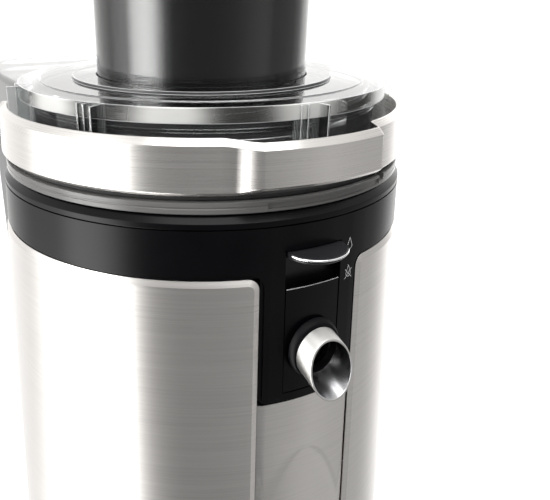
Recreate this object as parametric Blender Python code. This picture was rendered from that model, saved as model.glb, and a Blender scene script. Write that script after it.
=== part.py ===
"""Centrifugal juicer with a clear tiered lid, a twist-lock ring, a drip-stop spout and a rear pulp container.

Run with: blender --background --python part.py
Units are metres and +Z is up.  Angles in polar() are degrees from the front, which faces -Y,
and grow towards +X.  The motor axis is vertical and every height is above the table.
"""
import math

import bmesh
import bpy
from mathutils import Vector

# ---------------------------------------------------------------- driving sizes
COLLAR_RADIUS = 0.0900       # black collar, at its top edge
COLLAR_Z = 0.2320            # height of that edge
SKIN_STEP = 0.0005           # steel skin outside the collar, at the collar's height
BODY_FLARE = 0.042           # growth of the skin's radius for each metre down
CLEARANCE = 0.0004           # gap between pieces that seat on each other
SEAM = 0.0003                # visible joint between two covers
ROUND_STEPS = 56             # sides of a large turned piece
SMALL_STEPS = 24             # sides of a small turned piece

# feet and base
FOOT_HEIGHT = 0.0050
FOOT_RADIUS = 0.0095
FOOT_INSET = 0.0145          # centre of a foot inside the skin
BASE_THICKNESS = 0.0042
BASE_INSET = 0.0010
SHELF_THICKNESS = 0.0070
SCREW_HEAD_RADIUS = 0.0036
SCREW_SHANK_RADIUS = 0.0018
SCREW_HEAD_HEIGHT = 0.0018
SCREW_SHANK_LENGTH = 0.0075

# covers
PANEL_THICKNESS = 0.0010
PANEL_TOP_Z = 0.2103
PANEL_CORNER = 0.0045
PANEL_FRONT_ANGLE = 14.4     # front edge of a side panel, from the front centre line
PANEL_REAR_ANGLE = 126.0
STRIP_RECESS = 0.0012
STRIP_THICKNESS = 0.0008
HOUSING_RECESS = 0.0026
HOUSING_WALL = 0.0024
SHROUD_RECESS = 0.0005
SHROUD_WALL = 0.0026
SHROUD_FOOT_Z = 0.1560       # lower end of the black tongue that carries the spout
SHROUD_CORNER = 0.0040
COLLAR_SEAM_Z = 0.2298
COLLAR_CHAMFER = 0.0026
COLLAR_WIDTH = 0.0065

SHELL_STEP_ANGLE = 0.02      # turn over which a cover's edge steps to another height
TONGUE_MARGIN = 0.8          # degrees by which the housing is cut back beside the tongue

# spout and drip stop
SPOUT_ANGLE = 19.2           # degrees below the horizontal
SPOUT_PROUD = 0.0148         # centre of the mouth, outside the skin
SPOUT_MOUTH_Z = 0.1745
SPOUT_MOUTH_TILT = 73.7      # plane of the mouth, degrees below the horizontal
SPOUT_RADIUS = 0.0099
SPOUT_WALL = 0.0008
NOZZLE_WALL = 0.0016
NOZZLE_GAP = 0.0007          # nozzle inside the steel sleeve
NOZZLE_SHORT = 0.0140        # how far the nozzle ends inside the mouth
HUB_MARGIN = 0.0017          # hub outside the sleeve
HUB_HEIGHT = 0.0030
WINDOW_HALF_WIDTH = 0.0128
WINDOW_TOP_Z = 0.2200
WINDOW_BOTTOM_Z = 0.2045
SPOUT_PLATE_FOOT_Z = 0.1600
SLIDER_SETBACK = 0.0053      # slider behind the skin
SLIDER_THICKNESS = 0.0022
SLIDER_HALF_WIDTH = 0.0150
SLIDER_TOP_Z = 0.2290
SLIDER_FOOT_Z = 0.1740
TAB_PROUD = 0.0110           # finger tab outside the skin
TAB_HALF_WIDTH = 0.0122
TAB_TOP_Z = 0.2196
TAB_THICKNESS = 0.0030
TAB_TRIM = 0.0009

# speed knob
KNOB_Z = 0.0390
KNOB_RADIUS = 0.0165
KNOB_FACE_RADIUS = 0.0142
KNOB_LENGTH = 0.0130
BEZEL_RADIUS = 0.0195
BEZEL_HEIGHT = 0.0018
KNOB_SHAFT_RADIUS = 0.0030
KNOB_SHAFT_DEPTH = 0.0120
KNOB_EDGE = 0.0012
KNOB_HOLE_DEPTH = 0.0150
SWITCH_SIZE = (0.028, 0.020, 0.024)
BOARD_SIZE = (0.050, 0.0016, 0.034)
SWITCH_SETBACK = 0.0340      # front of the speed switch behind the skin
BOARD_GAP = 0.0030

# motor and drive
DECK_Z = 0.1660
DECK_THICKNESS = 0.0040
BOSS_RADIUS = 0.0150
BOSS_TOP_Z = 0.1760
BEARING_RADIUS = 0.0110
BEARING_HEIGHT = 0.0070
SHAFT_RADIUS = 0.0040
SHAFT_FOOT_Z = 0.0430
SHAFT_TOP_Z = 0.2130
STATOR_RADIUS = 0.0440
STATOR_FOOT_Z = 0.0620
STATOR_HEIGHT = 0.0660
ROTOR_RADIUS = 0.0250
AIR_GAP = 0.0008
COMMUTATOR_RADIUS = 0.0120
COMMUTATOR_HEIGHT = 0.0080
FAN_RADIUS = 0.0400
FAN_HEIGHT = 0.0120
FAN_BLADES = 9
BRACKET_WALL = 0.0025
BRACKET_FLANGE_RADIUS = 0.0600
BRACKET_SCREW_INSET = 0.0060
BRACKET_DROP = 0.0100        # bracket floor under the stator
BRUSH_SIZE = (0.012, 0.006, 0.006)
FAN_HUB_RADIUS = 0.0140
FAN_SWEEP = 14.0             # degrees a blade leans between hub and tip
FAN_ROOT_WIDTH = 9.0
FAN_TIP_WIDTH = 4.0
DECK_NOTCH = 2.0             # degrees the deck's notch is wider than the tongue
COUPLING_RADIUS = 0.0110
COUPLING_HEIGHT = 0.0100
SWITCH_DEPTH = 0.0058        # interlock switch between the bowl and the housing
SWITCH_HEIGHT = 0.0160

# bowl
BOWL_GAP = 0.0035            # bowl inside the collar's bore
BOWL_WALL = 0.0022
BOWL_FOOT_Z = 0.1785
BOWL_RIM_INSET = 0.0014      # rim inside the collar's edge
BOWL_RIM_FOOT_Z = 0.2351
BOWL_RIM_TOP_Z = 0.2395
BOWL_CHIMNEY_RADIUS = 0.0160
BOWL_CHIMNEY_TOP_Z = 0.2060
OUTLET_RADIUS = 0.0088
OUTLET_WALL = 0.0018
BOWL_FOOT_BEVEL = 0.0060
BOWL_FLOOR_BEVEL = 0.0050

# lid, chute and ring
GASKET_HEIGHT = 0.0018
GASKET_OVERHANG = 0.0005     # seal inside the bowl's radius
GASKET_INSET = 0.0018        # seal inside the rim's edge
LID_WALL = 0.0022
SKIRT_GAP = 0.0013           # lid's skirt inside the bowl's wall
FLANGE_WIDTH = 0.0043
FLANGE_FOOT_Z = 0.2649
FLANGE_TOP_Z = 0.2708
TIER_INSET = 0.0097
TIER_Z = 0.2712
DISC_MARGIN = 0.0108         # raised disc round the chute
DISC_Z = 0.2723
CHUTE_RADIUS = 0.0465
CHUTE_WALL = 0.0030
CHUTE_FOOT_Z = 0.2230
CHUTE_TOP_Z = 0.3770
CHUTE_LIP = 0.0020
RING_FOOT_Z = 0.2419
RING_TOP_Z = 0.2618
RING_WALL = 0.0032
RING_CHAMFER = 0.0023
RING_TAPER = 0.045
RING_END_ANGLE = 108.0
RING_FRONT_PROUD = 0.0054
RING_FRONT_FOOT_Z = 0.2447
RING_FRONT_DROP = 0.0008
RING_FRONT_HALF_ANGLE = 16.5
RING_BLEND_ANGLE = 5.0
RING_FOOT_BEVEL = 0.0012

# pusher
PUSHER_GAP = 0.0023          # pusher inside the chute's wall
PUSHER_WALL = 0.0025
CAP_OVERHANG = 0.0035        # cap outside the chute
PUSHER_CAP_HEIGHT = 0.0280
PUSHER_FLOOR_GAP = 0.0015
PUSHER_FOOT_BEVEL = 0.0020
CAP_EDGE = 0.0020
CAP_CROWN = ((0.80, 0.0), (0.94, 0.0030), (1.0, 0.0100))     # share of the radius, drop from the top

# filter basket
GRATER_RADIUS = 0.0490
GRATER_Z = 0.2170
GRATER_THICKNESS = 0.0015
BASKET_GAP = 0.0110          # basket inside the bowl's radius
BASKET_TOP_Z = 0.2545
BASKET_WALL = 0.0012
BASKET_RIM_WIDTH = 0.0040
BASKET_RIM_HEIGHT = 0.0030
HUB_TOP_RADIUS = 0.0300
HUB_CLEARANCE = 0.0020       # hub above the bowl's chimney
HUB_FOOT_WIDTH = 0.0040
BASKET_RIM_OVERLAP = 0.0018

# pulp container and its hood on the lid
CONTAINER_HALF_WIDTH = 0.0660
CONTAINER_DEPTH = 0.0750
CONTAINER_GAP = 0.0125       # container outside the skin
CONTAINER_TOP_Z = 0.2240
CONTAINER_WALL = 0.0022
CONTAINER_CORNER = 0.0280
HOOD_MARGIN = 0.0030
HOOD_FOOT_Z = 0.2262
HOOD_TOP_Z = 0.2630
HOOD_FLOOR_Z = 0.2447
HOOD_DOOR_REACH = 0.0400     # where the pulp duct starts inside the lid
HOOD_CORE_OVERRUN = 0.0100   # how far the lid's cutters run past its edges

# cord inlet
GLAND_ANGLE = 131.0
GLAND_Z = 0.0300
GLAND_LENGTH = 0.0100
GLAND_TIP_RADIUS = 0.0042
GLAND_ROOT_RADIUS = 0.0052

# ---------------------------------------------------------------- worked out sizes
BODY_RADIUS = COLLAR_RADIUS + SKIN_STEP
COLLAR_INNER_RADIUS = COLLAR_RADIUS - COLLAR_WIDTH
RING_RADIUS = COLLAR_RADIUS
FOOT_CIRCLE = BODY_RADIUS - FOOT_INSET
SPOUT_MOUTH_REACH = BODY_RADIUS + SPOUT_PROUD
NOZZLE_BORE_RADIUS = SPOUT_RADIUS - SPOUT_WALL - NOZZLE_GAP - NOZZLE_WALL
HUB_RADIUS = SPOUT_RADIUS + HUB_MARGIN
SLIDER_FRONT = BODY_RADIUS - SLIDER_SETBACK
TAB_REACH = BODY_RADIUS + TAB_PROUD
BOWL_RADIUS = COLLAR_INNER_RADIUS - BOWL_GAP
BOWL_RIM_RADIUS = COLLAR_RADIUS - BOWL_RIM_INSET
GASKET_INNER_RADIUS = BOWL_RADIUS - GASKET_OVERHANG
GASKET_OUTER_RADIUS = BOWL_RIM_RADIUS - GASKET_INSET
SKIRT_RADIUS = BOWL_RADIUS - BOWL_WALL - SKIRT_GAP
FLANGE_RADIUS = SKIRT_RADIUS + FLANGE_WIDTH
TIER_RADIUS = FLANGE_RADIUS - TIER_INSET
DISC_RADIUS = CHUTE_RADIUS + DISC_MARGIN
PUSHER_RADIUS = CHUTE_RADIUS - CHUTE_WALL - PUSHER_GAP
PUSHER_CAP_RADIUS = CHUTE_RADIUS + CAP_OVERHANG
BASKET_TOP_RADIUS = BOWL_RADIUS - BASKET_GAP
CONTAINER_INNER_RADIUS = BODY_RADIUS + CONTAINER_GAP
CONTAINER_REACH = CONTAINER_INNER_RADIUS + CONTAINER_DEPTH
BASE_TOP_Z = FOOT_HEIGHT + BASE_THICKNESS
COVER_FOOT_Z = BASE_TOP_Z + SEAM
KNOB_SEAT_RADIUS = BODY_RADIUS + BODY_FLARE * (COLLAR_Z - KNOB_Z) - STRIP_RECESS
KNOB_DIRECTION = (0.0, -1.0, BODY_FLARE)     # square to the flared skin
KNOB_TOP = BEZEL_HEIGHT + CLEARANCE + KNOB_LENGTH
KNOB_REACH = KNOB_SEAT_RADIUS + (KNOB_TOP + BODY_FLARE * KNOB_FACE_RADIUS) / math.hypot(1.0, BODY_FLARE)
SPOUT_LIP = SPOUT_RADIUS / math.sin(math.radians(SPOUT_MOUTH_TILT - SPOUT_ANGLE))
SPOUT_REACH = SPOUT_MOUTH_REACH + SPOUT_LIP * math.cos(math.radians(SPOUT_MOUTH_TILT))
FRONT_REACH = max(KNOB_REACH, SPOUT_REACH)
REAR_REACH = CONTAINER_REACH + HOOD_MARGIN
AXIS_Y = (FRONT_REACH - REAR_REACH) / 2.0
LID_FOOT_Z = BOWL_RIM_TOP_Z + SEAM
TONGUE_EDGE = PANEL_FRONT_ANGLE - math.degrees(SEAM / BODY_RADIUS)


def skin_radius(z):
    """Outer radius of the steel skin at height z."""
    return BODY_RADIUS + BODY_FLARE * (COLLAR_Z - z)


def polar(angle, radius, z):
    """Point at an angle from the front, in degrees, about the motor axis."""
    turn = math.radians(angle)
    return Vector((radius * math.sin(turn), -radius * math.cos(turn), z))


def smoothstep(value):
    value = min(max(value, 0.0), 1.0)
    return value * value * (3.0 - 2.0 * value)


# ---------------------------------------------------------------- scene and materials
def clear_scene():
    for item in list(bpy.data.objects):
        bpy.data.objects.remove(item, do_unlink=True)


def material(name, colour, roughness, metallic=0.0):
    made = bpy.data.materials.new(name)
    made.use_nodes = True
    shader = made.node_tree.nodes["Principled BSDF"]
    shader.inputs["Base Color"].default_value = (*colour, 1.0)
    shader.inputs["Roughness"].default_value = roughness
    shader.inputs["Metallic"].default_value = metallic
    return made


clear_scene()
AXIS = bpy.data.objects.new("motor_axis", None)
AXIS.location = (0.0, AXIS_Y, 0.0)
bpy.context.scene.collection.objects.link(AXIS)

BRUSHED = material("brushed_steel", (0.62, 0.61, 0.59), 0.32, 1.0)
SATIN = material("satin_steel", (0.80, 0.79, 0.77), 0.28, 1.0)
BLACK = material("gloss_black_plastic", (0.012, 0.012, 0.013), 0.22)
MATT_BLACK = material("matt_black_plastic", (0.02, 0.02, 0.021), 0.55)
CLEAR = material("clear_plastic", (0.86, 0.88, 0.88), 0.05)
SMOKE = material("smoked_plastic", (0.36, 0.37, 0.38), 0.2)
RUBBER = material("rubber", (0.02, 0.02, 0.02), 0.8)
CHROME = material("chrome", (0.9, 0.9, 0.9), 0.08, 1.0)
IRON = material("laminated_iron", (0.3, 0.3, 0.31), 0.5, 1.0)
COPPER = material("copper", (0.72, 0.36, 0.2), 0.4, 1.0)
ZINC = material("zinc_plated_steel", (0.6, 0.6, 0.58), 0.35, 1.0)
GREEN = material("circuit_board", (0.03, 0.16, 0.07), 0.5)


# ---------------------------------------------------------------- shape makers
def finish(name, bm, look, location=(0.0, 0.0, 0.0), guide=False):
    """Turn a bmesh into a closed, outward-facing object on the motor axis."""
    bmesh.ops.remove_doubles(bm, verts=bm.verts, dist=1e-6)
    bmesh.ops.recalc_face_normals(bm, faces=bm.faces)
    mesh = bpy.data.meshes.new(name)
    bm.to_mesh(mesh)
    bm.free()
    mesh.shade_smooth()
    mesh.set_sharp_from_angle(angle=math.radians(30.0))
    made = bpy.data.objects.new(name, mesh)
    bpy.context.scene.collection.objects.link(made)
    made.parent = AXIS
    made.location = location
    if guide:
        made.hide_render = True
        made.display_type = "WIRE"
    else:
        mesh.materials.append(look)
    return made


def loft(name, loops, look, closed=False, **options):
    """Skin equal closed loops of points; the ends are capped unless closed."""
    bm = bmesh.new()
    rows = [[bm.verts.new(point) for point in loop] for loop in loops]
    count = len(rows[0])
    pairs = list(zip(rows, rows[1:]))
    if closed:
        pairs.append((rows[-1], rows[0]))
    for near, far in pairs:
        for i in range(count):
            j = (i + 1) % count
            bm.faces.new((near[i], near[j], far[j], far[i]))
    if not closed:
        bm.faces.new(rows[0])
        bm.faces.new(rows[-1])
    return finish(name, bm, look, **options)


def turned(name, outline, look, steps=ROUND_STEPS, **options):
    """Turn an outline of (radius, z) points about the vertical axis.

    An outline that starts and ends on the axis is left open; any other is a closed ring section.
    """
    bm = bmesh.new()
    points = [bm.verts.new((radius, 0.0, z)) for radius, z in outline]
    on_axis = outline[0][0] == 0.0 and outline[-1][0] == 0.0
    edges = [bm.edges.new(pair) for pair in zip(points, points[1:])]
    if not on_axis:
        edges.append(bm.edges.new((points[-1], points[0])))
    bmesh.ops.spin(
        bm, geom=points + edges, cent=(0, 0, 0), axis=(0, 0, 1),
        angle=math.tau, steps=steps, use_merge=True,
    )
    return finish(name, bm, look, **options)


def band(name, section_at, start, end, columns, look, **options):
    """Sweep a section, a list of (radius, z) that depends on the angle, from start to end degrees."""
    angles = [start + (end - start) * i / columns for i in range(columns + 1)]
    loops = [[polar(angle, radius, z) for radius, z in section_at(angle)] for angle in angles]
    return loft(name, loops, look, **options)


def prism(name, outline, low, high, look, **options):
    """Extrude a flat outline of (x, y) points from low to high."""
    loops = [[(x, y, low) for x, y in outline], [(x, y, high) for x, y in outline]]
    return loft(name, loops, look, **options)


def block(name, size, centre, look, bevel=0.0, **options):
    bm = bmesh.new()
    bmesh.ops.create_cube(bm, size=1.0)
    bmesh.ops.scale(bm, vec=size, verts=bm.verts)
    if bevel:
        bmesh.ops.bevel(bm, geom=bm.edges, offset=bevel, segments=2, profile=0.5, affect="EDGES")
    bmesh.ops.translate(bm, vec=centre, verts=bm.verts)
    return finish(name, bm, look, **options)


def lathe_along(name, outline, origin, direction, look, steps=SMALL_STEPS, **options):
    """Turn an outline of (radius, distance) about a slanted axis."""
    made = turned(name, outline, look, steps=steps, **options)
    made.rotation_mode = "QUATERNION"
    made.rotation_quaternion = Vector(direction).to_track_quat("Z", "Y")
    made.location = origin
    return made


def cut(target, cutter, operation="DIFFERENCE"):
    step = target.modifiers.new(cutter.name, "BOOLEAN")
    step.operation = operation
    step.solver = "EXACT"
    step.object = cutter


def ring_outline(inner, outer, low, high):
    return [(outer, high), (outer, low), (inner, low), (inner, high)]


def disc_outline(outer, low, high):
    return [(0.0, high), (outer, high), (outer, low), (0.0, low)]


# ---------------------------------------------------------------- outlines
def arc_points(centre, radius, start, end, steps):
    """Points of an arc in the XY plane, angles in degrees from +X."""
    turns = [math.radians(start + (end - start) * i / steps) for i in range(steps + 1)]
    return [(centre[0] + radius * math.cos(t), centre[1] + radius * math.sin(t)) for t in turns]


def container_outline(grow):
    """D-shaped plan of the pulp container, hollowed to the body and grown by a distance."""
    half = CONTAINER_HALF_WIDTH + grow
    inner = CONTAINER_INNER_RADIUS - grow
    back = CONTAINER_REACH + grow
    corner = CONTAINER_CORNER + grow
    open_angle = math.degrees(math.asin(half / inner))
    points = arc_points((half - corner, back - corner), corner, 0.0, 90.0, 6)
    points += arc_points((-(half - corner), back - corner), corner, 90.0, 180.0, 6)
    points += arc_points((0.0, 0.0), inner, 90.0 + open_angle, 90.0 - open_angle, 14)
    return points


def base_outline(radius):
    """Plan of the base plate: the round body and the shelf under the container."""
    half = CONTAINER_HALF_WIDTH
    open_angle = math.degrees(math.asin(half / radius))
    points = arc_points((0.0, 0.0), radius, 90.0 + open_angle, 450.0 - open_angle, 44)
    corner = CONTAINER_CORNER
    points += arc_points((half - corner, CONTAINER_REACH - corner), corner, 0.0, 90.0, 6)
    points += arc_points((-(half - corner), CONTAINER_REACH - corner), corner, 90.0, 180.0, 6)
    return points


# ---------------------------------------------------------------- feet, base and screws
def screw(name, x, y, seat_z):
    """Pan-head screw: its head hangs under seat_z and its shank points up."""
    head = SCREW_HEAD_HEIGHT
    outline = [
        (0.0, SCREW_SHANK_LENGTH), (SCREW_SHANK_RADIUS, SCREW_SHANK_LENGTH),
        (SCREW_SHANK_RADIUS, 0.0), (SCREW_HEAD_RADIUS, 0.0),
        (SCREW_HEAD_RADIUS, -head * 0.6), (SCREW_HEAD_RADIUS * 0.7, -head), (0.0, -head),
    ]
    lathe_along(name, outline, (x, y, seat_z), (0, 0, 1), ZINC, steps=12)


def screw_hole(target, x, y, low, high):
    name = target.name + "_hole_cutter_" + str(len(target.modifiers))
    outline = disc_outline(SCREW_SHANK_RADIUS + CLEARANCE, low, high)
    cut(target, turned(name, outline, None, steps=12, location=(x, y, 0.0), guide=True))


def build_base():
    plan = base_outline(skin_radius(FOOT_HEIGHT) - BASE_INSET)
    base = prism("base_plate", plan, FOOT_HEIGHT, BASE_TOP_Z, MATT_BLACK)
    shelf_top = BASE_TOP_Z + SEAM + SHELF_THICKNESS
    prism("container_shelf", container_outline(0.0), BASE_TOP_Z + SEAM, shelf_top, BLACK)
    front = FOOT_CIRCLE / math.sqrt(2.0)
    rear_y = CONTAINER_REACH - CONTAINER_CORNER
    spots = [(-front, -front), (front, -front), (-front * 0.8, rear_y), (front * 0.8, rear_y)]
    for number, (x, y) in enumerate(spots, 1):
        outline = [
            (0.0, FOOT_HEIGHT - SEAM), (FOOT_RADIUS, FOOT_HEIGHT - SEAM),
            (FOOT_RADIUS * 0.85, 0.0), (0.0, 0.0),
        ]
        turned("foot_%d" % number, outline, RUBBER, steps=SMALL_STEPS, location=(x, y, 0.0))
    for number, angle in enumerate((0.0, 90.0, 180.0, 270.0), 1):
        spot = polar(angle, FOOT_CIRCLE, 0.0)
        screw_hole(base, spot.x, spot.y, 0.0, BASE_TOP_Z + SEAM)
        screw("base_screw_%d" % number, spot.x, spot.y, FOOT_HEIGHT - SEAM)


# ---------------------------------------------------------------- covers
def rounded_end(angle, edge, radius, corner):
    """How far a corner's arc pulls in the end of a panel, at an angle near its side edge."""
    distance = abs(edge - angle) * math.radians(1.0) * radius
    if distance >= corner:
        return 0.0
    return corner - math.sqrt(corner * corner - (corner - distance) ** 2)


def skin_section(low, high, outer_inset, wall):
    """Section of a wall that follows the flared skin."""
    outer_low, outer_high = skin_radius(low) - outer_inset, skin_radius(high) - outer_inset
    return [(outer_high, high), (outer_low, low), (outer_low - wall, low), (outer_high - wall, high)]


def side_panel(name, side):
    def section(angle):
        edge = PANEL_FRONT_ANGLE if abs(angle) < 70.0 else PANEL_REAR_ANGLE
        drop = rounded_end(abs(angle), edge, BODY_RADIUS, PANEL_CORNER)
        return skin_section(COVER_FOOT_Z, PANEL_TOP_Z - drop, 0.0, PANEL_THICKNESS)

    corner_angle = math.degrees(PANEL_CORNER / BODY_RADIUS)
    first = [PANEL_FRONT_ANGLE + corner_angle * t for t in (0.0, 0.08, 0.3, 0.6)]
    last = [PANEL_REAR_ANGLE - corner_angle * t for t in (0.6, 0.3, 0.08, 0.0)]
    middle_start, middle_end = first[0] + corner_angle, last[-1] - corner_angle
    middle = [middle_start + (middle_end - middle_start) * i / 22 for i in range(23)]
    angles = [side * angle for angle in first + middle + last]
    loops = [[polar(angle, radius, z) for radius, z in section(angle)] for angle in angles]
    loft(name, loops, BRUSHED)


def tongue_foot(angle):
    """Lower edge of the shroud: the collar band, and the tongue down the front."""
    if abs(angle) > TONGUE_EDGE:
        return PANEL_TOP_Z + SEAM
    return SHROUD_FOOT_Z + rounded_end(abs(angle), TONGUE_EDGE, BODY_RADIUS, SHROUD_CORNER)


def build_shroud():
    corner_angle = math.degrees(SHROUD_CORNER / BODY_RADIUS)
    half = [TONGUE_EDGE - corner_angle * t for t in (0.0, 0.08, 0.3, 0.6, 1.0)]
    half += [TONGUE_EDGE * 0.4, TONGUE_EDGE * 0.2]
    front = [-angle for angle in half] + [0.0] + half[::-1]
    rear_count = 50
    rear_start = TONGUE_EDGE + SHELL_STEP_ANGLE
    rear_end = 360.0 - rear_start
    rear = [rear_start + (rear_end - rear_start) * i / rear_count for i in range(rear_count + 1)]
    top = COLLAR_SEAM_Z - SEAM
    loops = []
    for angle in front + rear:
        turn = angle if angle <= 180.0 else angle - 360.0
        section = skin_section(tongue_foot(turn), top, SHROUD_RECESS, SHROUD_WALL)
        loops.append([polar(angle, radius, z) for radius, z in section])
    shroud = loft("front_shroud", loops, BLACK, closed=True)
    low, high = SPOUT_PLATE_FOOT_Z, WINDOW_TOP_Z
    size = (2 * WINDOW_HALF_WIDTH, 10 * SHROUD_WALL, high - low)
    cut(shroud, block("window_cutter", size, (0.0, -BODY_RADIUS, (low + high) / 2), None, guide=True))


def build_covers():
    side_panel("left_panel", -1)
    side_panel("right_panel", 1)
    strip = band(
        "front_strip",
        lambda angle: skin_section(COVER_FOOT_Z, SHROUD_FOOT_Z - SEAM, STRIP_RECESS, STRIP_THICKNESS),
        -TONGUE_EDGE, TONGUE_EDGE, 12, BRUSHED,
    )
    rear_edge = PANEL_REAR_ANGLE + math.degrees(SEAM / BODY_RADIUS)
    band(
        "rear_cover",
        lambda angle: skin_section(COVER_FOOT_Z, PANEL_TOP_Z, 0.0, PANEL_THICKNESS),
        rear_edge, 360.0 - rear_edge, 24, MATT_BLACK,
    )
    chamfer = COLLAR_CHAMFER
    turned("collar_trim", [
        (COLLAR_RADIUS, COLLAR_Z), (COLLAR_RADIUS, COLLAR_SEAM_Z), (COLLAR_INNER_RADIUS, COLLAR_SEAM_Z),
        (COLLAR_INNER_RADIUS, COLLAR_Z + chamfer), (COLLAR_RADIUS - chamfer, COLLAR_Z + chamfer),
    ], BLACK)
    return strip


def build_housing():
    tongue_edge = PANEL_FRONT_ANGLE + TONGUE_MARGIN

    def section(angle):
        top = SHROUD_FOOT_Z - SEAM if abs(angle) < tongue_edge else PANEL_TOP_Z - SEAM
        return skin_section(COVER_FOOT_Z, top, HOUSING_RECESS, HOUSING_WALL)

    front = [-tongue_edge + SHELL_STEP_ANGLE, 0.0, tongue_edge - SHELL_STEP_ANGLE]
    rear = [tongue_edge + (360.0 - 2 * tongue_edge) * i / 48 for i in range(49)]
    loops = []
    for angle in front + rear:
        turn = angle if angle <= 180.0 else angle - 360.0
        loops.append([polar(angle, radius, z) for radius, z in section(turn)])
    housing = loft("motor_housing", loops, MATT_BLACK, closed=True)
    depth = KNOB_HOLE_DEPTH
    knob_hole = lathe_along(
        "knob_shaft_cutter", disc_outline(KNOB_SHAFT_RADIUS + CLEARANCE, 0.0, 2 * depth),
        (0.0, depth - KNOB_SEAT_RADIUS, KNOB_Z - depth * BODY_FLARE), KNOB_DIRECTION, None, guide=True,
    )
    cut(housing, knob_hole)
    return housing, knob_hole


# ---------------------------------------------------------------- spout and drip stop
def spout_point(reach):
    """Point of the spout's axis at a distance in front of the motor axis."""
    back = (SPOUT_MOUTH_REACH - reach) * math.tan(math.radians(SPOUT_ANGLE))
    return Vector((0.0, -reach, SPOUT_MOUTH_Z + back))


def spout_loop(radius, reach, tilt):
    """Oblique cut through a round tube on the spout's axis, at an angle below the horizontal."""
    centre = spout_point(reach)
    lean = math.radians(tilt)
    slant = radius / math.sin(math.radians(tilt - SPOUT_ANGLE))
    down = Vector((0.0, -math.cos(lean), -math.sin(lean)))
    turns = [math.tau * i / SMALL_STEPS for i in range(SMALL_STEPS)]
    across = Vector((radius, 0, 0))
    return [centre + across * math.cos(t) + down * slant * math.sin(t) for t in turns]


def slanted_tube(name, outer, inner, back, front, look):
    """Open tube on the spout's axis: an upright cut at its back, the mouth's slant at its front."""
    loops = [
        spout_loop(outer, back, 90.0), spout_loop(outer, front, SPOUT_MOUTH_TILT),
        spout_loop(inner, front, SPOUT_MOUTH_TILT), spout_loop(inner, back, 90.0),
    ]
    loft(name, loops, look, closed=True)


def spout_bar(name, radius, back, front, look, **options):
    """Solid bar on the spout's axis with upright ends."""
    return loft(name, [spout_loop(radius, back, 90.0), spout_loop(radius, front, 90.0)], look, **options)


def build_spout():
    plate_front = skin_radius(SPOUT_MOUTH_Z) - SHROUD_RECESS
    sleeve_back = plate_front + CLEARANCE
    nozzle_outer = NOZZLE_BORE_RADIUS + NOZZLE_WALL
    slanted_tube(
        "spout_sleeve", SPOUT_RADIUS, SPOUT_RADIUS - SPOUT_WALL, sleeve_back + HUB_HEIGHT,
        SPOUT_MOUTH_REACH, SATIN,
    )
    slanted_tube(
        "spout_nozzle", nozzle_outer, NOZZLE_BORE_RADIUS, SLIDER_FRONT + CLEARANCE,
        SPOUT_MOUTH_REACH - NOZZLE_SHORT, MATT_BLACK,
    )
    bore = nozzle_outer + CLEARANCE
    loft("spout_hub", [
        spout_loop(HUB_RADIUS, sleeve_back, 90.0),
        spout_loop(SPOUT_RADIUS + 2 * SEAM, sleeve_back + HUB_HEIGHT, 90.0),
        spout_loop(bore, sleeve_back + HUB_HEIGHT - CLEARANCE, 90.0),
        spout_loop(bore, sleeve_back, 90.0),
    ], BLACK, closed=True)
    low, high = SPOUT_PLATE_FOOT_Z + SEAM, WINDOW_BOTTOM_Z
    half_angle = math.degrees((WINDOW_HALF_WIDTH - SEAM) / plate_front)
    plate = band(
        "spout_plate", lambda angle: skin_section(low, high, SHROUD_RECESS, SHROUD_WALL),
        -half_angle, half_angle, 6, BLACK,
    )
    reach = plate_front + 3 * SHROUD_WALL
    cut(plate, spout_bar("nozzle_cutter", bore, SLIDER_FRONT - SHROUD_WALL, reach, None, guide=True))


def build_drip_stop():
    back = SLIDER_FRONT - SLIDER_THICKNESS
    slider = block(
        "drip_stop_slider", (2 * SLIDER_HALF_WIDTH, SLIDER_THICKNESS, SLIDER_TOP_Z - SLIDER_FOOT_Z),
        (0.0, -(SLIDER_FRONT + back) / 2, (SLIDER_TOP_Z + SLIDER_FOOT_Z) / 2), BLACK,
    )
    port = (back - SLIDER_THICKNESS, SLIDER_FRONT + SLIDER_THICKNESS)
    cut(slider, spout_bar("shutter_port_cutter", NOZZLE_BORE_RADIUS, *port, None, guide=True))

    stem_back = SLIDER_FRONT + CLEARANCE
    low, high = TAB_TOP_Z - TAB_THICKNESS, TAB_TOP_Z
    edge_y = skin_radius(high)
    crown = TAB_REACH - edge_y

    def tab_outline(half, reach):
        arc = []
        for i in range(11):
            share = 1.0 - i / 5.0
            arc.append((half * share, -(edge_y + (reach - edge_y) * (1.0 - share * share) ** 0.5)))
        return [(-half, -stem_back), (half, -stem_back)] + arc

    inner_reach = TAB_REACH - TAB_TRIM - CLEARANCE
    inner_half = TAB_HALF_WIDTH - TAB_TRIM
    prism("drip_stop_tab", tab_outline(inner_half - CLEARANCE, inner_reach), low, high, BLACK)

    def trim_loop(z):
        outer, inner = [], []
        for i in range(13):
            turn = math.pi * i / 12
            across, out = math.cos(turn), math.sin(turn)
            outer.append((TAB_HALF_WIDTH * across, -(edge_y + crown * out), z))
            inner.append((inner_half * across, -(edge_y + (crown - TAB_TRIM) * out), z))
        return outer + inner[::-1]

    loft("tab_trim", [trim_loop(high - TAB_TRIM), trim_loop(high)], CHROME)


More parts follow.
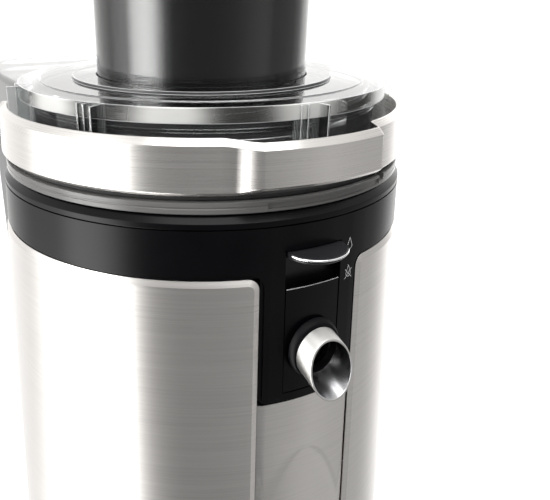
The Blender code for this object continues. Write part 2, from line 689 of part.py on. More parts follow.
# ---------------------------------------------------------------- speed knob
def build_knob(housing, knob_hole, strip):
    cut(strip, knob_hole)
    seat = -KNOB_SEAT_RADIUS
    centre = (0.0, seat, KNOB_Z)
    bezel_inner = KNOB_SHAFT_RADIUS + 2 * CLEARANCE
    bezel = ring_outline(bezel_inner, BEZEL_RADIUS, CLEARANCE, BEZEL_HEIGHT + CLEARANCE)
    lathe_along("knob_bezel", bezel, centre, KNOB_DIRECTION, SATIN)
    skirt = BEZEL_HEIGHT + 2 * CLEARANCE
    shoulder = (KNOB_FACE_RADIUS + KNOB_RADIUS) / 2
    lathe_along("speed_knob", [
        (0.0, KNOB_TOP), (KNOB_FACE_RADIUS, KNOB_TOP), (shoulder, KNOB_TOP - KNOB_EDGE),
        (KNOB_RADIUS, skirt), (0.0, skirt),
    ], centre, KNOB_DIRECTION, BLACK)
    stem = disc_outline(KNOB_SHAFT_RADIUS, -KNOB_SHAFT_DEPTH, skirt - CLEARANCE)
    lathe_along("knob_shaft", stem, centre, KNOB_DIRECTION, ZINC)
    back = seat + SWITCH_SETBACK
    block("speed_switch", SWITCH_SIZE, (0.0, back - SWITCH_SIZE[1] / 2, KNOB_Z), MATT_BLACK)
    block("control_board", BOARD_SIZE, (0.0, back + BOARD_GAP, KNOB_Z), GREEN)


# ---------------------------------------------------------------- motor and deck
def deck_radius(angle):
    """The deck reaches the housing, except in front, where the drip stop slides past it."""
    housing_inner = skin_radius(DECK_Z + DECK_THICKNESS) - HOUSING_RECESS - HOUSING_WALL - CLEARANCE
    turn = abs(angle if angle <= 180.0 else angle - 360.0)
    if turn < PANEL_FRONT_ANGLE + DECK_NOTCH:
        return SLIDER_FRONT - SLIDER_THICKNESS - CLEARANCE
    return housing_inner


def build_motor():
    bearing_bore = BEARING_RADIUS + CLEARANCE
    notch = PANEL_FRONT_ANGLE + DECK_NOTCH
    inside_notch = notch - SHELL_STEP_ANGLE
    angles = [-inside_notch, -notch / 2, 0.0, notch / 2, inside_notch]
    angles += [notch + (360.0 - 2 * notch) * i / 44 for i in range(45)]
    top = DECK_Z + DECK_THICKNESS
    loops = []
    for angle in angles:
        section = [
            (deck_radius(angle), top), (deck_radius(angle), DECK_Z), (bearing_bore, DECK_Z),
            (bearing_bore, BOSS_TOP_Z), (BOSS_RADIUS, BOSS_TOP_Z), (BOSS_RADIUS, top),
        ]
        loops.append([polar(angle, radius, z) for radius, z in section])
    deck = loft("motor_deck", loops, MATT_BLACK, closed=True)

    shaft_bore = SHAFT_RADIUS + CLEARANCE
    upper_low = BOSS_TOP_Z - BEARING_HEIGHT
    stator_top = STATOR_FOOT_Z + STATOR_HEIGHT
    stator_bore = ROTOR_RADIUS + AIR_GAP
    commutator_low = stator_top + 2 * CLEARANCE
    commutator_top = commutator_low + COMMUTATOR_HEIGHT
    bearing = ring_outline(shaft_bore, BEARING_RADIUS, upper_low, BOSS_TOP_Z)
    stator = ring_outline(stator_bore, STATOR_RADIUS, STATOR_FOOT_Z, stator_top)
    rotor = ring_outline(shaft_bore, ROTOR_RADIUS, STATOR_FOOT_Z, stator_top)
    segments = ring_outline(shaft_bore, COMMUTATOR_RADIUS, commutator_low, commutator_top)
    turned("upper_bearing", bearing, ZINC, steps=SMALL_STEPS)
    turned("motor_stator", stator, IRON, steps=36)
    turned("motor_rotor", rotor, COPPER, steps=SMALL_STEPS)
    turned("commutator", segments, COPPER, steps=SMALL_STEPS)
    brush_x = COMMUTATOR_RADIUS + CLEARANCE + BRUSH_SIZE[0] / 2
    brush_z = (commutator_low + commutator_top) / 2
    for number, side in enumerate((-1, 1), 1):
        block("carbon_brush_%d" % number, BRUSH_SIZE, (side * brush_x, 0.0, brush_z), MATT_BLACK)
    shaft = disc_outline(SHAFT_RADIUS, SHAFT_FOOT_Z, SHAFT_TOP_Z)
    turned("motor_shaft", shaft, ZINC, steps=SMALL_STEPS)

    bracket_outer = STATOR_RADIUS + CLEARANCE + BRACKET_WALL
    flange_top = DECK_Z - SEAM
    lower_floor = STATOR_FOOT_Z - BRACKET_DROP
    bracket = turned("motor_bracket", [
        (BRACKET_FLANGE_RADIUS, flange_top), (BRACKET_FLANGE_RADIUS, flange_top - BRACKET_WALL),
        (bracket_outer, flange_top - BRACKET_WALL), (bracket_outer, lower_floor - BRACKET_WALL),
        (bearing_bore, lower_floor - BRACKET_WALL), (bearing_bore, lower_floor),
        (STATOR_RADIUS + CLEARANCE, lower_floor), (STATOR_RADIUS + CLEARANCE, flange_top),
    ], ZINC, steps=40)
    bearing_low = lower_floor - BRACKET_WALL / 2 - BEARING_HEIGHT / 2
    bearing = ring_outline(shaft_bore, BEARING_RADIUS, bearing_low, bearing_low + BEARING_HEIGHT)
    turned("lower_bearing", bearing, ZINC, steps=SMALL_STEPS)
    build_fan(commutator_top + 2 * CLEARANCE)
    for number, angle in enumerate((45.0, 135.0, 225.0, 315.0), 1):
        spot = polar(angle, BRACKET_FLANGE_RADIUS - BRACKET_SCREW_INSET, 0.0)
        screw_hole(bracket, spot.x, spot.y, DECK_Z - 2 * DECK_THICKNESS, DECK_Z + CLEARANCE)
        screw_hole(deck, spot.x, spot.y, DECK_Z - CLEARANCE, top + CLEARANCE)
        screw("motor_screw_%d" % number, spot.x, spot.y, flange_top - BRACKET_WALL - SEAM)
    reach = BOWL_RADIUS + 2 * CLEARANCE + SWITCH_DEPTH / 2
    switch_z = top + CLEARANCE + SWITCH_HEIGHT / 2
    size = (SWITCH_DEPTH, 2 * SWITCH_DEPTH, SWITCH_HEIGHT)
    block("interlock_switch", size, polar(90.0, reach, switch_z), MATT_BLACK)


def build_fan(low):
    """Cooling fan: a hub with swept blades, as one moulding."""
    outline = []
    for blade in range(FAN_BLADES):
        start = blade * 360.0 / FAN_BLADES
        for turn, radius in (
            (0.0, FAN_HUB_RADIUS), (FAN_SWEEP, FAN_RADIUS),
            (FAN_SWEEP + FAN_TIP_WIDTH, FAN_RADIUS), (FAN_ROOT_WIDTH, FAN_HUB_RADIUS),
        ):
            outline.append(polar(start + turn, radius, 0.0).xy)
    fan = prism("cooling_fan", outline, low, low + FAN_HEIGHT, MATT_BLACK)
    bore = disc_outline(SHAFT_RADIUS + CLEARANCE, low - CLEARANCE, low + FAN_HEIGHT + CLEARANCE)
    cut(fan, turned("fan_bore_cutter", bore, None, steps=SMALL_STEPS, guide=True))


# ---------------------------------------------------------------- bowl and filter basket
def build_bowl():
    wall, floor = BOWL_WALL, BOWL_FOOT_Z + BOWL_WALL
    chimney, bevel = BOWL_CHIMNEY_RADIUS, BOWL_FOOT_BEVEL
    bowl = turned("juice_bowl", [
        (BOWL_RIM_RADIUS, BOWL_RIM_TOP_Z), (BOWL_RIM_RADIUS, BOWL_RIM_FOOT_Z),
        (BOWL_RADIUS, BOWL_RIM_FOOT_Z), (BOWL_RADIUS, BOWL_FOOT_Z + bevel),
        (BOWL_RADIUS - bevel, BOWL_FOOT_Z), (chimney, BOWL_FOOT_Z),
        (chimney, BOWL_CHIMNEY_TOP_Z), (chimney + wall, BOWL_CHIMNEY_TOP_Z),
        (chimney + wall, floor), (BOWL_RADIUS - wall - BOWL_FLOOR_BEVEL, floor),
        (BOWL_RADIUS - wall, floor + BOWL_FLOOR_BEVEL), (BOWL_RADIUS - wall, BOWL_RIM_TOP_Z),
    ], SMOKE)
    back, front = BOWL_RADIUS - bevel, SLIDER_FRONT - SLIDER_THICKNESS - CLEARANCE
    bore = OUTLET_RADIUS - OUTLET_WALL
    outlet = spout_bar("outlet_guide", OUTLET_RADIUS, back, front, None, guide=True)
    cut(bowl, outlet, "UNION")
    cut(bowl, spout_bar("outlet_cutter", bore, back - bevel, front + bevel, None, guide=True))


def build_basket():
    low = GRATER_Z
    bore = SHAFT_RADIUS + CLEARANCE
    chimney_top = BOWL_CHIMNEY_TOP_Z
    hub_low = chimney_top + HUB_CLEARANCE
    coupling = ring_outline(bore, COUPLING_RADIUS, chimney_top - COUPLING_HEIGHT, chimney_top)
    turned("drive_coupling", coupling, BLACK, steps=SMALL_STEPS)
    turned("basket_hub", [
        (HUB_TOP_RADIUS, low - SEAM), (COUPLING_RADIUS + HUB_FOOT_WIDTH, hub_low), (bore, hub_low),
        (bore, low - SEAM),
    ], BLACK, steps=36)
    turned("grater_disc", disc_outline(GRATER_RADIUS, low, low + GRATER_THICKNESS), SATIN, steps=40)
    foot_radius = GRATER_RADIUS + CLEARANCE
    turned("filter_mesh", [
        (BASKET_TOP_RADIUS, BASKET_TOP_Z), (foot_radius + BASKET_WALL, low), (foot_radius, low),
        (BASKET_TOP_RADIUS - BASKET_WALL, BASKET_TOP_Z),
    ], SATIN, steps=48)
    rim_low = BASKET_TOP_Z + SEAM
    rim_inner = BASKET_TOP_RADIUS - BASKET_RIM_OVERLAP
    rim_outer = BASKET_TOP_RADIUS + BASKET_RIM_WIDTH
    rim = ring_outline(rim_inner, rim_outer, rim_low, rim_low + BASKET_RIM_HEIGHT)
    turned("basket_rim", rim, SATIN, steps=48)


# ---------------------------------------------------------------- lid, chute and lock ring
def build_lid():
    wall = LID_WALL
    bore = CHUTE_RADIUS + CLEARANCE
    skirt_inner = SKIRT_RADIUS - wall
    lid = turned("lid", [
        (bore, DISC_Z), (bore, DISC_Z - wall),
        (skirt_inner, DISC_Z - wall), (skirt_inner, LID_FOOT_Z), (SKIRT_RADIUS, LID_FOOT_Z),
        (SKIRT_RADIUS, FLANGE_FOOT_Z), (FLANGE_RADIUS, FLANGE_FOOT_Z), (FLANGE_RADIUS, FLANGE_TOP_Z),
        (TIER_RADIUS, TIER_Z), (DISC_RADIUS, TIER_Z), (DISC_RADIUS, DISC_Z),
    ], CLEAR)
    duct_half = CONTAINER_HALF_WIDTH + HOOD_MARGIN
    reach = CONTAINER_INNER_RADIUS
    ceiling = HOOD_TOP_Z - wall
    hood_plan, hood_core_plan = container_outline(HOOD_MARGIN), container_outline(HOOD_MARGIN - wall)
    core_foot = HOOD_FOOT_Z - HOOD_CORE_OVERRUN
    duct_plan = duct_outline(duct_half, reach)
    duct_core_plan = duct_outline(duct_half - wall, reach + HOOD_CORE_OVERRUN)
    core_plan = disc_outline(skirt_inner, LID_FOOT_Z - HOOD_CORE_OVERRUN, DISC_Z - wall - CLEARANCE)
    outer_hood = prism("hood_guide", hood_plan, HOOD_FOOT_Z, HOOD_TOP_Z, None, guide=True)
    outer_duct = prism("duct_guide", duct_plan, HOOD_FLOOR_Z - wall, HOOD_TOP_Z, None, guide=True)
    inner_hood = prism("hood_cutter", hood_core_plan, core_foot, ceiling, None, guide=True)
    inner_duct = prism("duct_cutter", duct_core_plan, HOOD_FLOOR_Z, ceiling, None, guide=True)
    core = turned("lid_core_cutter", core_plan, None, guide=True)
    cut(lid, outer_hood, "UNION")
    cut(lid, outer_duct, "UNION")
    cut(lid, inner_hood)
    cut(lid, inner_duct)
    cut(lid, core)


def duct_outline(half, reach):
    """Plan of the pulp duct: from inside the lid back over the bowl's rim to the container."""
    spread = math.degrees(math.asin(half / reach))
    arc = arc_points((0.0, 0.0), reach, 90.0 - spread, 90.0 + spread, 12)
    return [(half, HOOD_DOOR_REACH)] + arc + [(-half, HOOD_DOOR_REACH)]


def build_chute():
    inner, lip = CHUTE_RADIUS - CHUTE_WALL, CHUTE_RADIUS + CHUTE_LIP
    lip_foot = CHUTE_TOP_Z - CHUTE_WALL
    turned("feed_chute", [
        (lip, CHUTE_TOP_Z), (lip, lip_foot), (CHUTE_RADIUS, lip_foot), (CHUTE_RADIUS, CHUTE_FOOT_Z),
        (inner, CHUTE_FOOT_Z), (inner, CHUTE_TOP_Z),
    ], CLEAR)


def ring_section(angle):
    """Section of the lock ring: it stands proud, and sits higher, across the front."""
    proud = 1.0 - smoothstep((abs(angle) - RING_FRONT_HALF_ANGLE) / RING_BLEND_ANGLE)
    foot = RING_FOOT_Z + (RING_FRONT_FOOT_Z - RING_FOOT_Z) * proud
    top = RING_TOP_Z - RING_FRONT_DROP * proud
    outer = RING_RADIUS + RING_FRONT_PROUD * proud
    taper = RING_TAPER * (top - foot)
    chamfer = RING_CHAMFER
    return [
        (outer - chamfer - taper, top), (outer - taper, top - chamfer),
        (outer, foot + RING_FOOT_BEVEL), (outer - RING_FOOT_BEVEL, foot),
        (outer - RING_WALL, foot), (outer - RING_WALL - taper, top),
    ]


def build_lock_ring():
    blend = [RING_FRONT_HALF_ANGLE + RING_BLEND_ANGLE * t for t in (1.0, 0.8, 0.6, 0.4, 0.2, 0.0)]
    side_count = 15
    side_step = (RING_END_ANGLE - blend[0]) / side_count
    sides = [RING_END_ANGLE - side_step * i for i in range(side_count)]
    half = sides + blend + [RING_FRONT_HALF_ANGLE / 2]
    angles = [-angle for angle in half] + [0.0] + half[::-1]
    loops = [[polar(angle, radius, z) for radius, z in ring_section(angle)] for angle in angles]
    loft("lock_ring", loops, BRUSHED)


def build_gasket():
    low = BOWL_RIM_TOP_Z + SEAM
    seal = ring_outline(GASKET_INNER_RADIUS, GASKET_OUTER_RADIUS, low, low + GASKET_HEIGHT)
    turned("bowl_gasket", seal, RUBBER)


# ---------------------------------------------------------------- pusher
def build_pusher():
    low = CHUTE_FOOT_Z + PUSHER_FLOOR_GAP
    top = CHUTE_TOP_Z + CLEARANCE
    inner = PUSHER_RADIUS - PUSHER_WALL
    turned("pusher_body", [
        (0.0, low + PUSHER_WALL), (inner, low + PUSHER_WALL), (inner, top), (PUSHER_RADIUS, top),
        (PUSHER_RADIUS, low + PUSHER_FOOT_BEVEL), (PUSHER_RADIUS - PUSHER_FOOT_BEVEL, low), (0.0, low),
    ], BLACK)
    cap_low = top + SEAM
    cap_top = cap_low + PUSHER_CAP_HEIGHT
    crown = [(PUSHER_CAP_RADIUS * share, cap_top - drop) for share, drop in CAP_CROWN]
    turned("pusher_cap", [(0.0, cap_top)] + crown + [
        (PUSHER_CAP_RADIUS, cap_low + CAP_EDGE), (PUSHER_CAP_RADIUS - CAP_EDGE, cap_low), (0.0, cap_low),
    ], BLACK)


# ---------------------------------------------------------------- pulp container
def build_container():
    low = BASE_TOP_Z + SEAM + SHELF_THICKNESS + CLEARANCE
    outer, inner = container_outline(0.0), container_outline(-CONTAINER_WALL)
    levels = [
        (outer, low), (outer, CONTAINER_TOP_Z),
        (inner, CONTAINER_TOP_Z), (inner, low + CONTAINER_WALL),
    ]
    loops = [[(x, y, z) for x, y in outline] for outline, z in levels]
    loft("pulp_container", loops, SMOKE)


def build_cord_inlet():
    """Rubber gland in the rear cover, beside the container, where the mains lead goes in."""
    seat = polar(GLAND_ANGLE, skin_radius(GLAND_Z) + CLEARANCE, GLAND_Z)
    outward = polar(GLAND_ANGLE, 1.0, 0.0)
    outline = [
        (0.0, GLAND_LENGTH), (GLAND_TIP_RADIUS, GLAND_LENGTH), (GLAND_ROOT_RADIUS, 0.0), (0.0, 0.0),
    ]
    lathe_along("cord_gland", outline, seat, outward, RUBBER, steps=16)


build_base()
front_strip = build_covers()
build_shroud()
motor_housing, knob_cutter = build_housing()
build_knob(motor_housing, knob_cutter, front_strip)
build_spout()
build_drip_stop()
build_motor()
build_bowl()
build_basket()
build_lid()
build_chute()
build_lock_ring()
build_gasket()
build_pusher()
build_container()
build_cord_inlet()
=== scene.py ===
"""Looks of the centrifugal juicer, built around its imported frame."""
import math

import bmesh
import bpy
from mathutils import Matrix, Vector


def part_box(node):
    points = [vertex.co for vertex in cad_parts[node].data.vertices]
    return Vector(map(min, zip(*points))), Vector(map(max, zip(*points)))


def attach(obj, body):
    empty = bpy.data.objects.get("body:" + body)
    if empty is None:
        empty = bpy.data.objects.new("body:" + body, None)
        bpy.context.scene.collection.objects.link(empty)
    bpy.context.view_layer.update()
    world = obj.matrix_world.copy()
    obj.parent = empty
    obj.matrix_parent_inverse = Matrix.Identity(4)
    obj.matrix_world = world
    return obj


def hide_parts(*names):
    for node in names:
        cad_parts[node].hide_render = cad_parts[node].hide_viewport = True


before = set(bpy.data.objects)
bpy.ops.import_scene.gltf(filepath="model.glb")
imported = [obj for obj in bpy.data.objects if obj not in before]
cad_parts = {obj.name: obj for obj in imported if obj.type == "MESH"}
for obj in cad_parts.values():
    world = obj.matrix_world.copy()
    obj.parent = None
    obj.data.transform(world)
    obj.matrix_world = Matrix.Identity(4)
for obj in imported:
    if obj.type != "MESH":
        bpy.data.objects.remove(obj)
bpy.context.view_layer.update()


# ---------------------------------------------------------------- sizes, from the frame where it gives them
def half_width(node):
    low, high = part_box(node)
    return (high.x - low.x) / 2


def foot_of(node):
    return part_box(node)[0].z


def top_of(node):
    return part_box(node)[1].z


TRIM_LOW, TRIM_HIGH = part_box("collar_trim")
AXIS_Y = (TRIM_HIGH.y + TRIM_LOW.y) / 2
COLLAR_RADIUS = half_width("collar_trim")
COLLAR_SEAM_Z = foot_of("collar_trim")
COLLAR_TOP_Z = top_of("collar_trim")
COLLAR_CHAMFER = 0.0026
COLLAR_Z = COLLAR_TOP_Z - COLLAR_CHAMFER
COLLAR_INNER_RADIUS = 0.0835
SEAM = 0.0003
GAP = 0.0004

BODY_RADIUS = COLLAR_RADIUS + 0.0005
BODY_FLARE = 0.042
PANEL_FOOT_Z = foot_of("left_panel")
PANEL_TOP_Z = top_of("left_panel")
PANEL_CORNER = 0.0045
PANEL_BEVEL_WIDTH = 0.0022
PANEL_BEVEL_DEPTH = 0.0011
PANEL_FRONT_ANGLE = 14.4
PANEL_REAR_ANGLE = 126.0
SHROUD_FOOT_Z = foot_of("front_shroud")
SHROUD_RECESS = 0.0005
SHROUD_SKIN = 0.0012
GROOVE_WIDTH = 0.0019
GROOVE_DEPTH = 0.0009
TONGUE_CORNER = 0.0040

SPOUT_ANGLE = 19.2
SPOUT_MOUTH_REACH = 0.1053
SPOUT_MOUTH_Z = 0.1745
SPOUT_MOUTH_TILT = 73.7
SPOUT_RADIUS = half_width("spout_sleeve")
SPOUT_WALL = 0.0008
NOZZLE_RADIUS = half_width("spout_nozzle")
NOZZLE_BORE = NOZZLE_RADIUS - 0.0016
NOZZLE_REACH = SPOUT_MOUTH_REACH - 0.0165
HUB_RADIUS = half_width("spout_hub")
WINDOW_HALF_WIDTH = 0.0128
WINDOW_TOP_Z = 0.2200
PLATE_FOOT_Z = foot_of("spout_plate")
PLATE_TOP_Z = top_of("spout_plate")
SLIDER_FRONT = AXIS_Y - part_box("drip_stop_slider")[0].y
TAB_REACH = AXIS_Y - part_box("tab_trim")[0].y
TAB_HALF_WIDTH = half_width("tab_trim")
TAB_TOP_Z = top_of("drip_stop_tab")
MARK_ANGLE = 11.0

KNOB_Z = 0.0390
KNOB_RADIUS = half_width("speed_knob")
BEZEL_RADIUS = half_width("knob_bezel")

BOWL_RIM_RADIUS = half_width("juice_bowl")
BOWL_FOOT_Z = foot_of("juice_bowl")
BOWL_TOP_Z = top_of("juice_bowl")
BOWL_RIM_FOOT_Z = BOWL_TOP_Z - 0.0044
BOWL_RADIUS = 0.0800
BOWL_WALL = 0.0022
BOWL_GROOVE_ARC = (-12.6, 24.6)
BOWL_NOTCH_ARC = (24.7, 27.4)
BOWL_NOTCH_DEPTH = 0.0026
GASKET_INNER = 0.0795

LID_TOP_Z = top_of("lid")
LID_FOOT_Z = BOWL_TOP_Z + SEAM
LID_WALL = 0.0022
SKIRT_RADIUS = 0.0765
FLANGE_RADIUS = 0.0808
FLANGE_FOOT_Z = LID_TOP_Z - 0.0074
TIER_RADIUS = 0.0711
DISC_RADIUS = 0.0573
CHUTE_RADIUS = 0.0465
CHUTE_WALL = 0.0030
CHUTE_TOP_Z = top_of("feed_chute")
CHUTE_FOOT_Z = foot_of("feed_chute")

FLANGE_LIGHT_WAVES = 10.0

RING_RADIUS = half_width("lock_ring")
RING_FOOT_Z = foot_of("lock_ring")
RING_TOP_Z = top_of("lock_ring")
RING_WALL = 0.0032
RING_CHAMFER = 0.0023
RING_TAPER = 0.045
RING_END_ANGLE = 108.0
RING_PROUD = 0.0054
RING_RISE = 0.0028
RING_DROP = 0.0008
RING_HALF_ANGLE = 16.5

PUSHER_RADIUS = half_width("pusher_body")
CAP_RADIUS = half_width("pusher_cap")
CAP_FOOT_Z = foot_of("pusher_cap")
CAP_TOP_Z = top_of("pusher_cap")

CONTAINER_HALF_WIDTH = half_width("pulp_container")
CONTAINER_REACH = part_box("pulp_container")[1].y - AXIS_Y
CONTAINER_INNER_RADIUS = 0.1030
CONTAINER_CORNER = 0.0280
CONTAINER_WALL = 0.0022
CONTAINER_FOOT_Z = foot_of("pulp_container")
CONTAINER_TOP_Z = top_of("pulp_container")
HOOD_MARGIN = 0.0030
HOOD_FOOT_Z = foot_of("lid")
HOOD_TOP_Z = 0.2630
HOOD_FLOOR_Z = 0.2447
HOOD_DOOR_REACH = 0.0400

UP = Vector((0.0, 0.0, 1.0))

CAMERA_TURN = -28.0
CAMERA_PITCH = math.degrees(0.397)
CAMERA_REACH = 3.3405 * COLLAR_RADIUS
CAMERA_RISE = 0.8775 * COLLAR_RADIUS
CAMERA_LENS = 42.37
CAMERA_FILM = 36.0
CAMERA_SHIFT = 0.1341


def skin_radius(z):
    """Outer radius of the steel skin at a height."""
    return BODY_RADIUS + BODY_FLARE * (COLLAR_Z - z)


def polar(angle, radius, z):
    """Point at an angle from the front, in degrees, about the motor axis."""
    turn = math.radians(angle)
    return Vector((radius * math.sin(turn), AXIS_Y - radius * math.cos(turn), z))


def span(start, end, count):
    """Evenly spaced numbers from start to end, both included."""
    return [start + (end - start) * i / count for i in range(count + 1)]


def radians_over(start, end, count):
    """Evenly spaced angles in radians, from limits in degrees."""
    return [math.radians(angle) for angle in span(start, end, count)]


def smoothstep(value):
    value = min(max(value, 0.0), 1.0)
    return value * value * (3.0 - 2.0 * value)


# ---------------------------------------------------------------- finishes
class Value:
    """A shader socket that takes part in sums."""

    def __init__(self, finish, socket):
        self.finish = finish
        self.socket = socket

    def sum(self, operation, *terms):
        return self.finish.node(
            "ShaderNodeMath", {"operation": operation}, dict(enumerate(terms))
        )

    def __add__(self, other):
        return self.sum("ADD", self, other)

    def __radd__(self, other):
        return self.sum("ADD", other, self)

    def __sub__(self, other):
        return self.sum("SUBTRACT", self, other)

    def __rsub__(self, other):
        return self.sum("SUBTRACT", other, self)

    def __mul__(self, other):
        return self.sum("MULTIPLY", self, other)

    def __truediv__(self, other):
        return self.sum("DIVIDE", self, other)

    def part(self, name):
        """Another output of the same node."""
        return Value(self.finish, self.socket.node.outputs[name])

    def between(self, low, high):
        """0 below low, 1 above high, with a soft ramp in the middle."""
        settings = {"interpolation_type": "SMOOTHSTEP"}
        return self.finish.node("ShaderNodeMapRange", settings, {0: self, 1: low, 2: high})


class Finish:
    """A material, or the world, in the making."""

    def __init__(self, name, owner=None):
        self.owner = owner or bpy.data.materials.new(name)
        self.owner.use_nodes = True
        self.tree = self.owner.node_tree
        self.tree.nodes.clear()

    def node(self, kind, settings=None, values=None, output=None):
        made = self.tree.nodes.new(kind)
        for key, value in (settings or {}).items():
            if key == "stops":
                self.set_stops(made.color_ramp, value)
            else:
                setattr(made, key, value)
        for key, value in (values or {}).items():
            if isinstance(value, Value):
                self.tree.links.new(value.socket, made.inputs[key])
            else:
                made.inputs[key].default_value = value
        if output is None and made.outputs:
            output = next(i for i, socket in enumerate(made.outputs) if socket.enabled)
        return made if output is None else Value(self, made.outputs[output])

    def set_stops(self, ramp, stops):
        while len(ramp.elements) < len(stops):
            ramp.elements.new(1.0)
        for element, (place, tone) in zip(ramp.elements, stops):
            element.position = place
            element.color = (*tone, 1.0) if isinstance(tone, tuple) else (tone, tone, tone, 1.0)

    def place(self):
        """Where a point is on the piece, measured from the motor axis."""
        spot = self.node("ShaderNodeTexCoord", output="Object")
        return self.vector("SUBTRACT", spot, (0.0, AXIS_Y, 0.0))

    def vector(self, operation, first, second):
        return self.node("ShaderNodeVectorMath", {"operation": operation}, {0: first, 1: second})

    def stretched(self, spot, scale):
        return self.vector("MULTIPLY", spot, scale)

    def axes(self, spot):
        """The X of a vector, with its Y and Z as parts."""
        return self.node("ShaderNodeSeparateXYZ", {}, {0: spot})

    def noise(self, spot, scale, detail=2.0, roughness=0.5):
        values = {"Vector": spot, "Scale": scale, "Detail": detail, "Roughness": roughness}
        return self.node("ShaderNodeTexNoise", {}, values, output=0)

    def blend(self, share, first, second):
        values = {0: share, 6: tinted(first), 7: tinted(second)}
        return self.node("ShaderNodeMix", {"data_type": "RGBA"}, values, output=2)

    def bump(self, height, strength, distance):
        values = {"Height": height, "Strength": strength, "Distance": distance}
        return self.node("ShaderNodeBump", {}, values)

    def surface(self, values):
        return self.node("ShaderNodeBsdfPrincipled", {}, values)

    def see_through(self, tint):
        return self.node("ShaderNodeBsdfTransparent", {}, {"Color": (*tint, 1.0)})

    def mixed(self, share, first, second):
        """Two shaders, the second by a share."""
        return self.node("ShaderNodeMixShader", {}, {0: share, 1: first, 2: second})

    def close(self, shader, output="ShaderNodeOutputMaterial"):
        self.node(output, {}, {"Surface": shader})
        return self.owner


def tinted(colour):
    return colour if isinstance(colour, Value) else (*colour, 1.0)


def scaled(tone, factor, lift=0.0):
    """A tone made darker or lighter, kept within white."""
    return tuple(min(channel * factor + lift, 1.0) for channel in tone)


def brushed_steel(name, tone, roughness, grain, directional):
    """Stainless steel with fine scratches that run round the machine."""
    steel = Finish(name)
    spot = steel.place()
    hair_scale, line_scale = (22.0, 22.0, 5200.0), (9.0, 9.0, 1150.0)
    hair = steel.noise(steel.stretched(spot, hair_scale), 1.0, detail=3.0, roughness=0.62)
    line = steel.noise(steel.stretched(spot, line_scale), 1.0)
    cloud = steel.noise(spot, 14.0)
    scratch = hair * 0.62 + line * 0.38
    dark, light = scaled(tone, 1.0 - grain), scaled(tone, 1.0 + grain)
    shader = steel.surface({
        "Base Color": steel.blend(scratch.between(0.30, 0.70), dark, light),
        "Metallic": 1.0,
        "Roughness": roughness + (scratch - 0.5) * 0.14 + (cloud - 0.5) * 0.04,
        "Anisotropic": directional,
        "Anisotropic Rotation": 0.25,
        "Normal": steel.bump(scratch, 0.16, 0.00005),
    })
    return steel.close(shader)


def fine_steel(name, tone, roughness, scale=2600.0):
    """Bead-blasted or plated metal with an even, fine grain."""
    steel = Finish(name)
    spot = steel.place()
    grit = steel.noise(spot, scale, roughness=0.6)
    cloud = steel.noise(spot, 45.0, detail=3.0)
    shader = steel.surface({
        "Base Color": steel.blend(grit, scaled(tone, 0.93), tone),
        "Metallic": 1.0,
        "Roughness": roughness + (cloud - 0.5) * 0.06 + (grit - 0.5) * 0.05,
        "Normal": steel.bump(grit, 0.05, 0.00004),
    })
    return steel.close(shader)


def moulded(name, tone, roughness, grain_scale, grain, smear=0.05, shine=0.5):
    """Moulded plastic with a fine grain and a faint unevenness of polish."""
    plastic = Finish(name)
    spot = plastic.place()
    texture = plastic.noise(spot, grain_scale, roughness=0.55)
    cloud = plastic.noise(spot, 32.0, detail=3.0, roughness=0.6)
    worn = cloud.between(0.35, 0.7) * 0.6 + texture * 0.25
    shader = plastic.surface({
        "Base Color": plastic.blend(worn, tone, scaled(tone, 1.35, lift=0.0015)),
        "Roughness": roughness + (cloud - 0.5) * smear + (texture - 0.5) * smear,
        "Specular IOR Level": shine,
        "Normal": plastic.bump(texture, grain, 0.0001),
    })
    return plastic.close(shader)


def clear_moulding(name, tint, body, haze, gloss=1.5, roughness=0.035):
    """See-through plastic: light passes, and the polished skin mirrors more at a slant."""
    clear = Finish(name)
    spot = clear.place()
    flow = clear.noise(clear.stretched(spot, (30.0, 30.0, 12.0)), 1.0)
    slant = clear.node("ShaderNodeFresnel", {}, {"IOR": gloss})
    wave = clear.bump(flow, 0.08, 0.0004)
    skin = clear.surface({
        "Base Color": clear.blend(flow.between(0.3, 0.7), haze, scaled(haze, 1.06)),
        "Metallic": 1.0 if body < 0.3 else 0.0,
        "Roughness": roughness + (flow - 0.5) * 0.02,
        "Normal": wave,
    })
    share = body + slant * (1.0 - body)
    return clear.close(clear.mixed(share, clear.see_through(tint), skin))


def painted_wave_band(name):
    """Clear wall of the lid's flange, with painted light and shade in soft waves round it, standing for the
    light the thick plastic gathers.
    """
    band = Finish(name)
    spot = band.place()
    axes = band.axes(spot)
    turn = axes.sum("ARCTAN2", axes, axes.part("Y"))
    wave = turn.sum("COSINE", turn * FLANGE_LIGHT_WAVES) * 0.5 + 0.5
    flow = band.noise(band.stretched(spot, (20.0, 20.0, 160.0)), 1.0)
    # Painted light and shade: the colour and the see-through share rise and fall in waves round the flange.
    painted_light_waves = (wave * 0.78 + flow * 0.22).between(0.10, 0.85)
    skin = band.surface({
        "Base Color": band.blend(painted_light_waves, (0.28, 0.28, 0.27), (0.76, 0.76, 0.74)),
        "Roughness": 0.12 + flow * 0.10,
        "Normal": band.bump(flow, 0.10, 0.0004),
    })
    clear_part = band.see_through((0.90, 0.91, 0.91))
    return band.close(band.mixed(0.16 + painted_light_waves * 0.66, clear_part, skin))


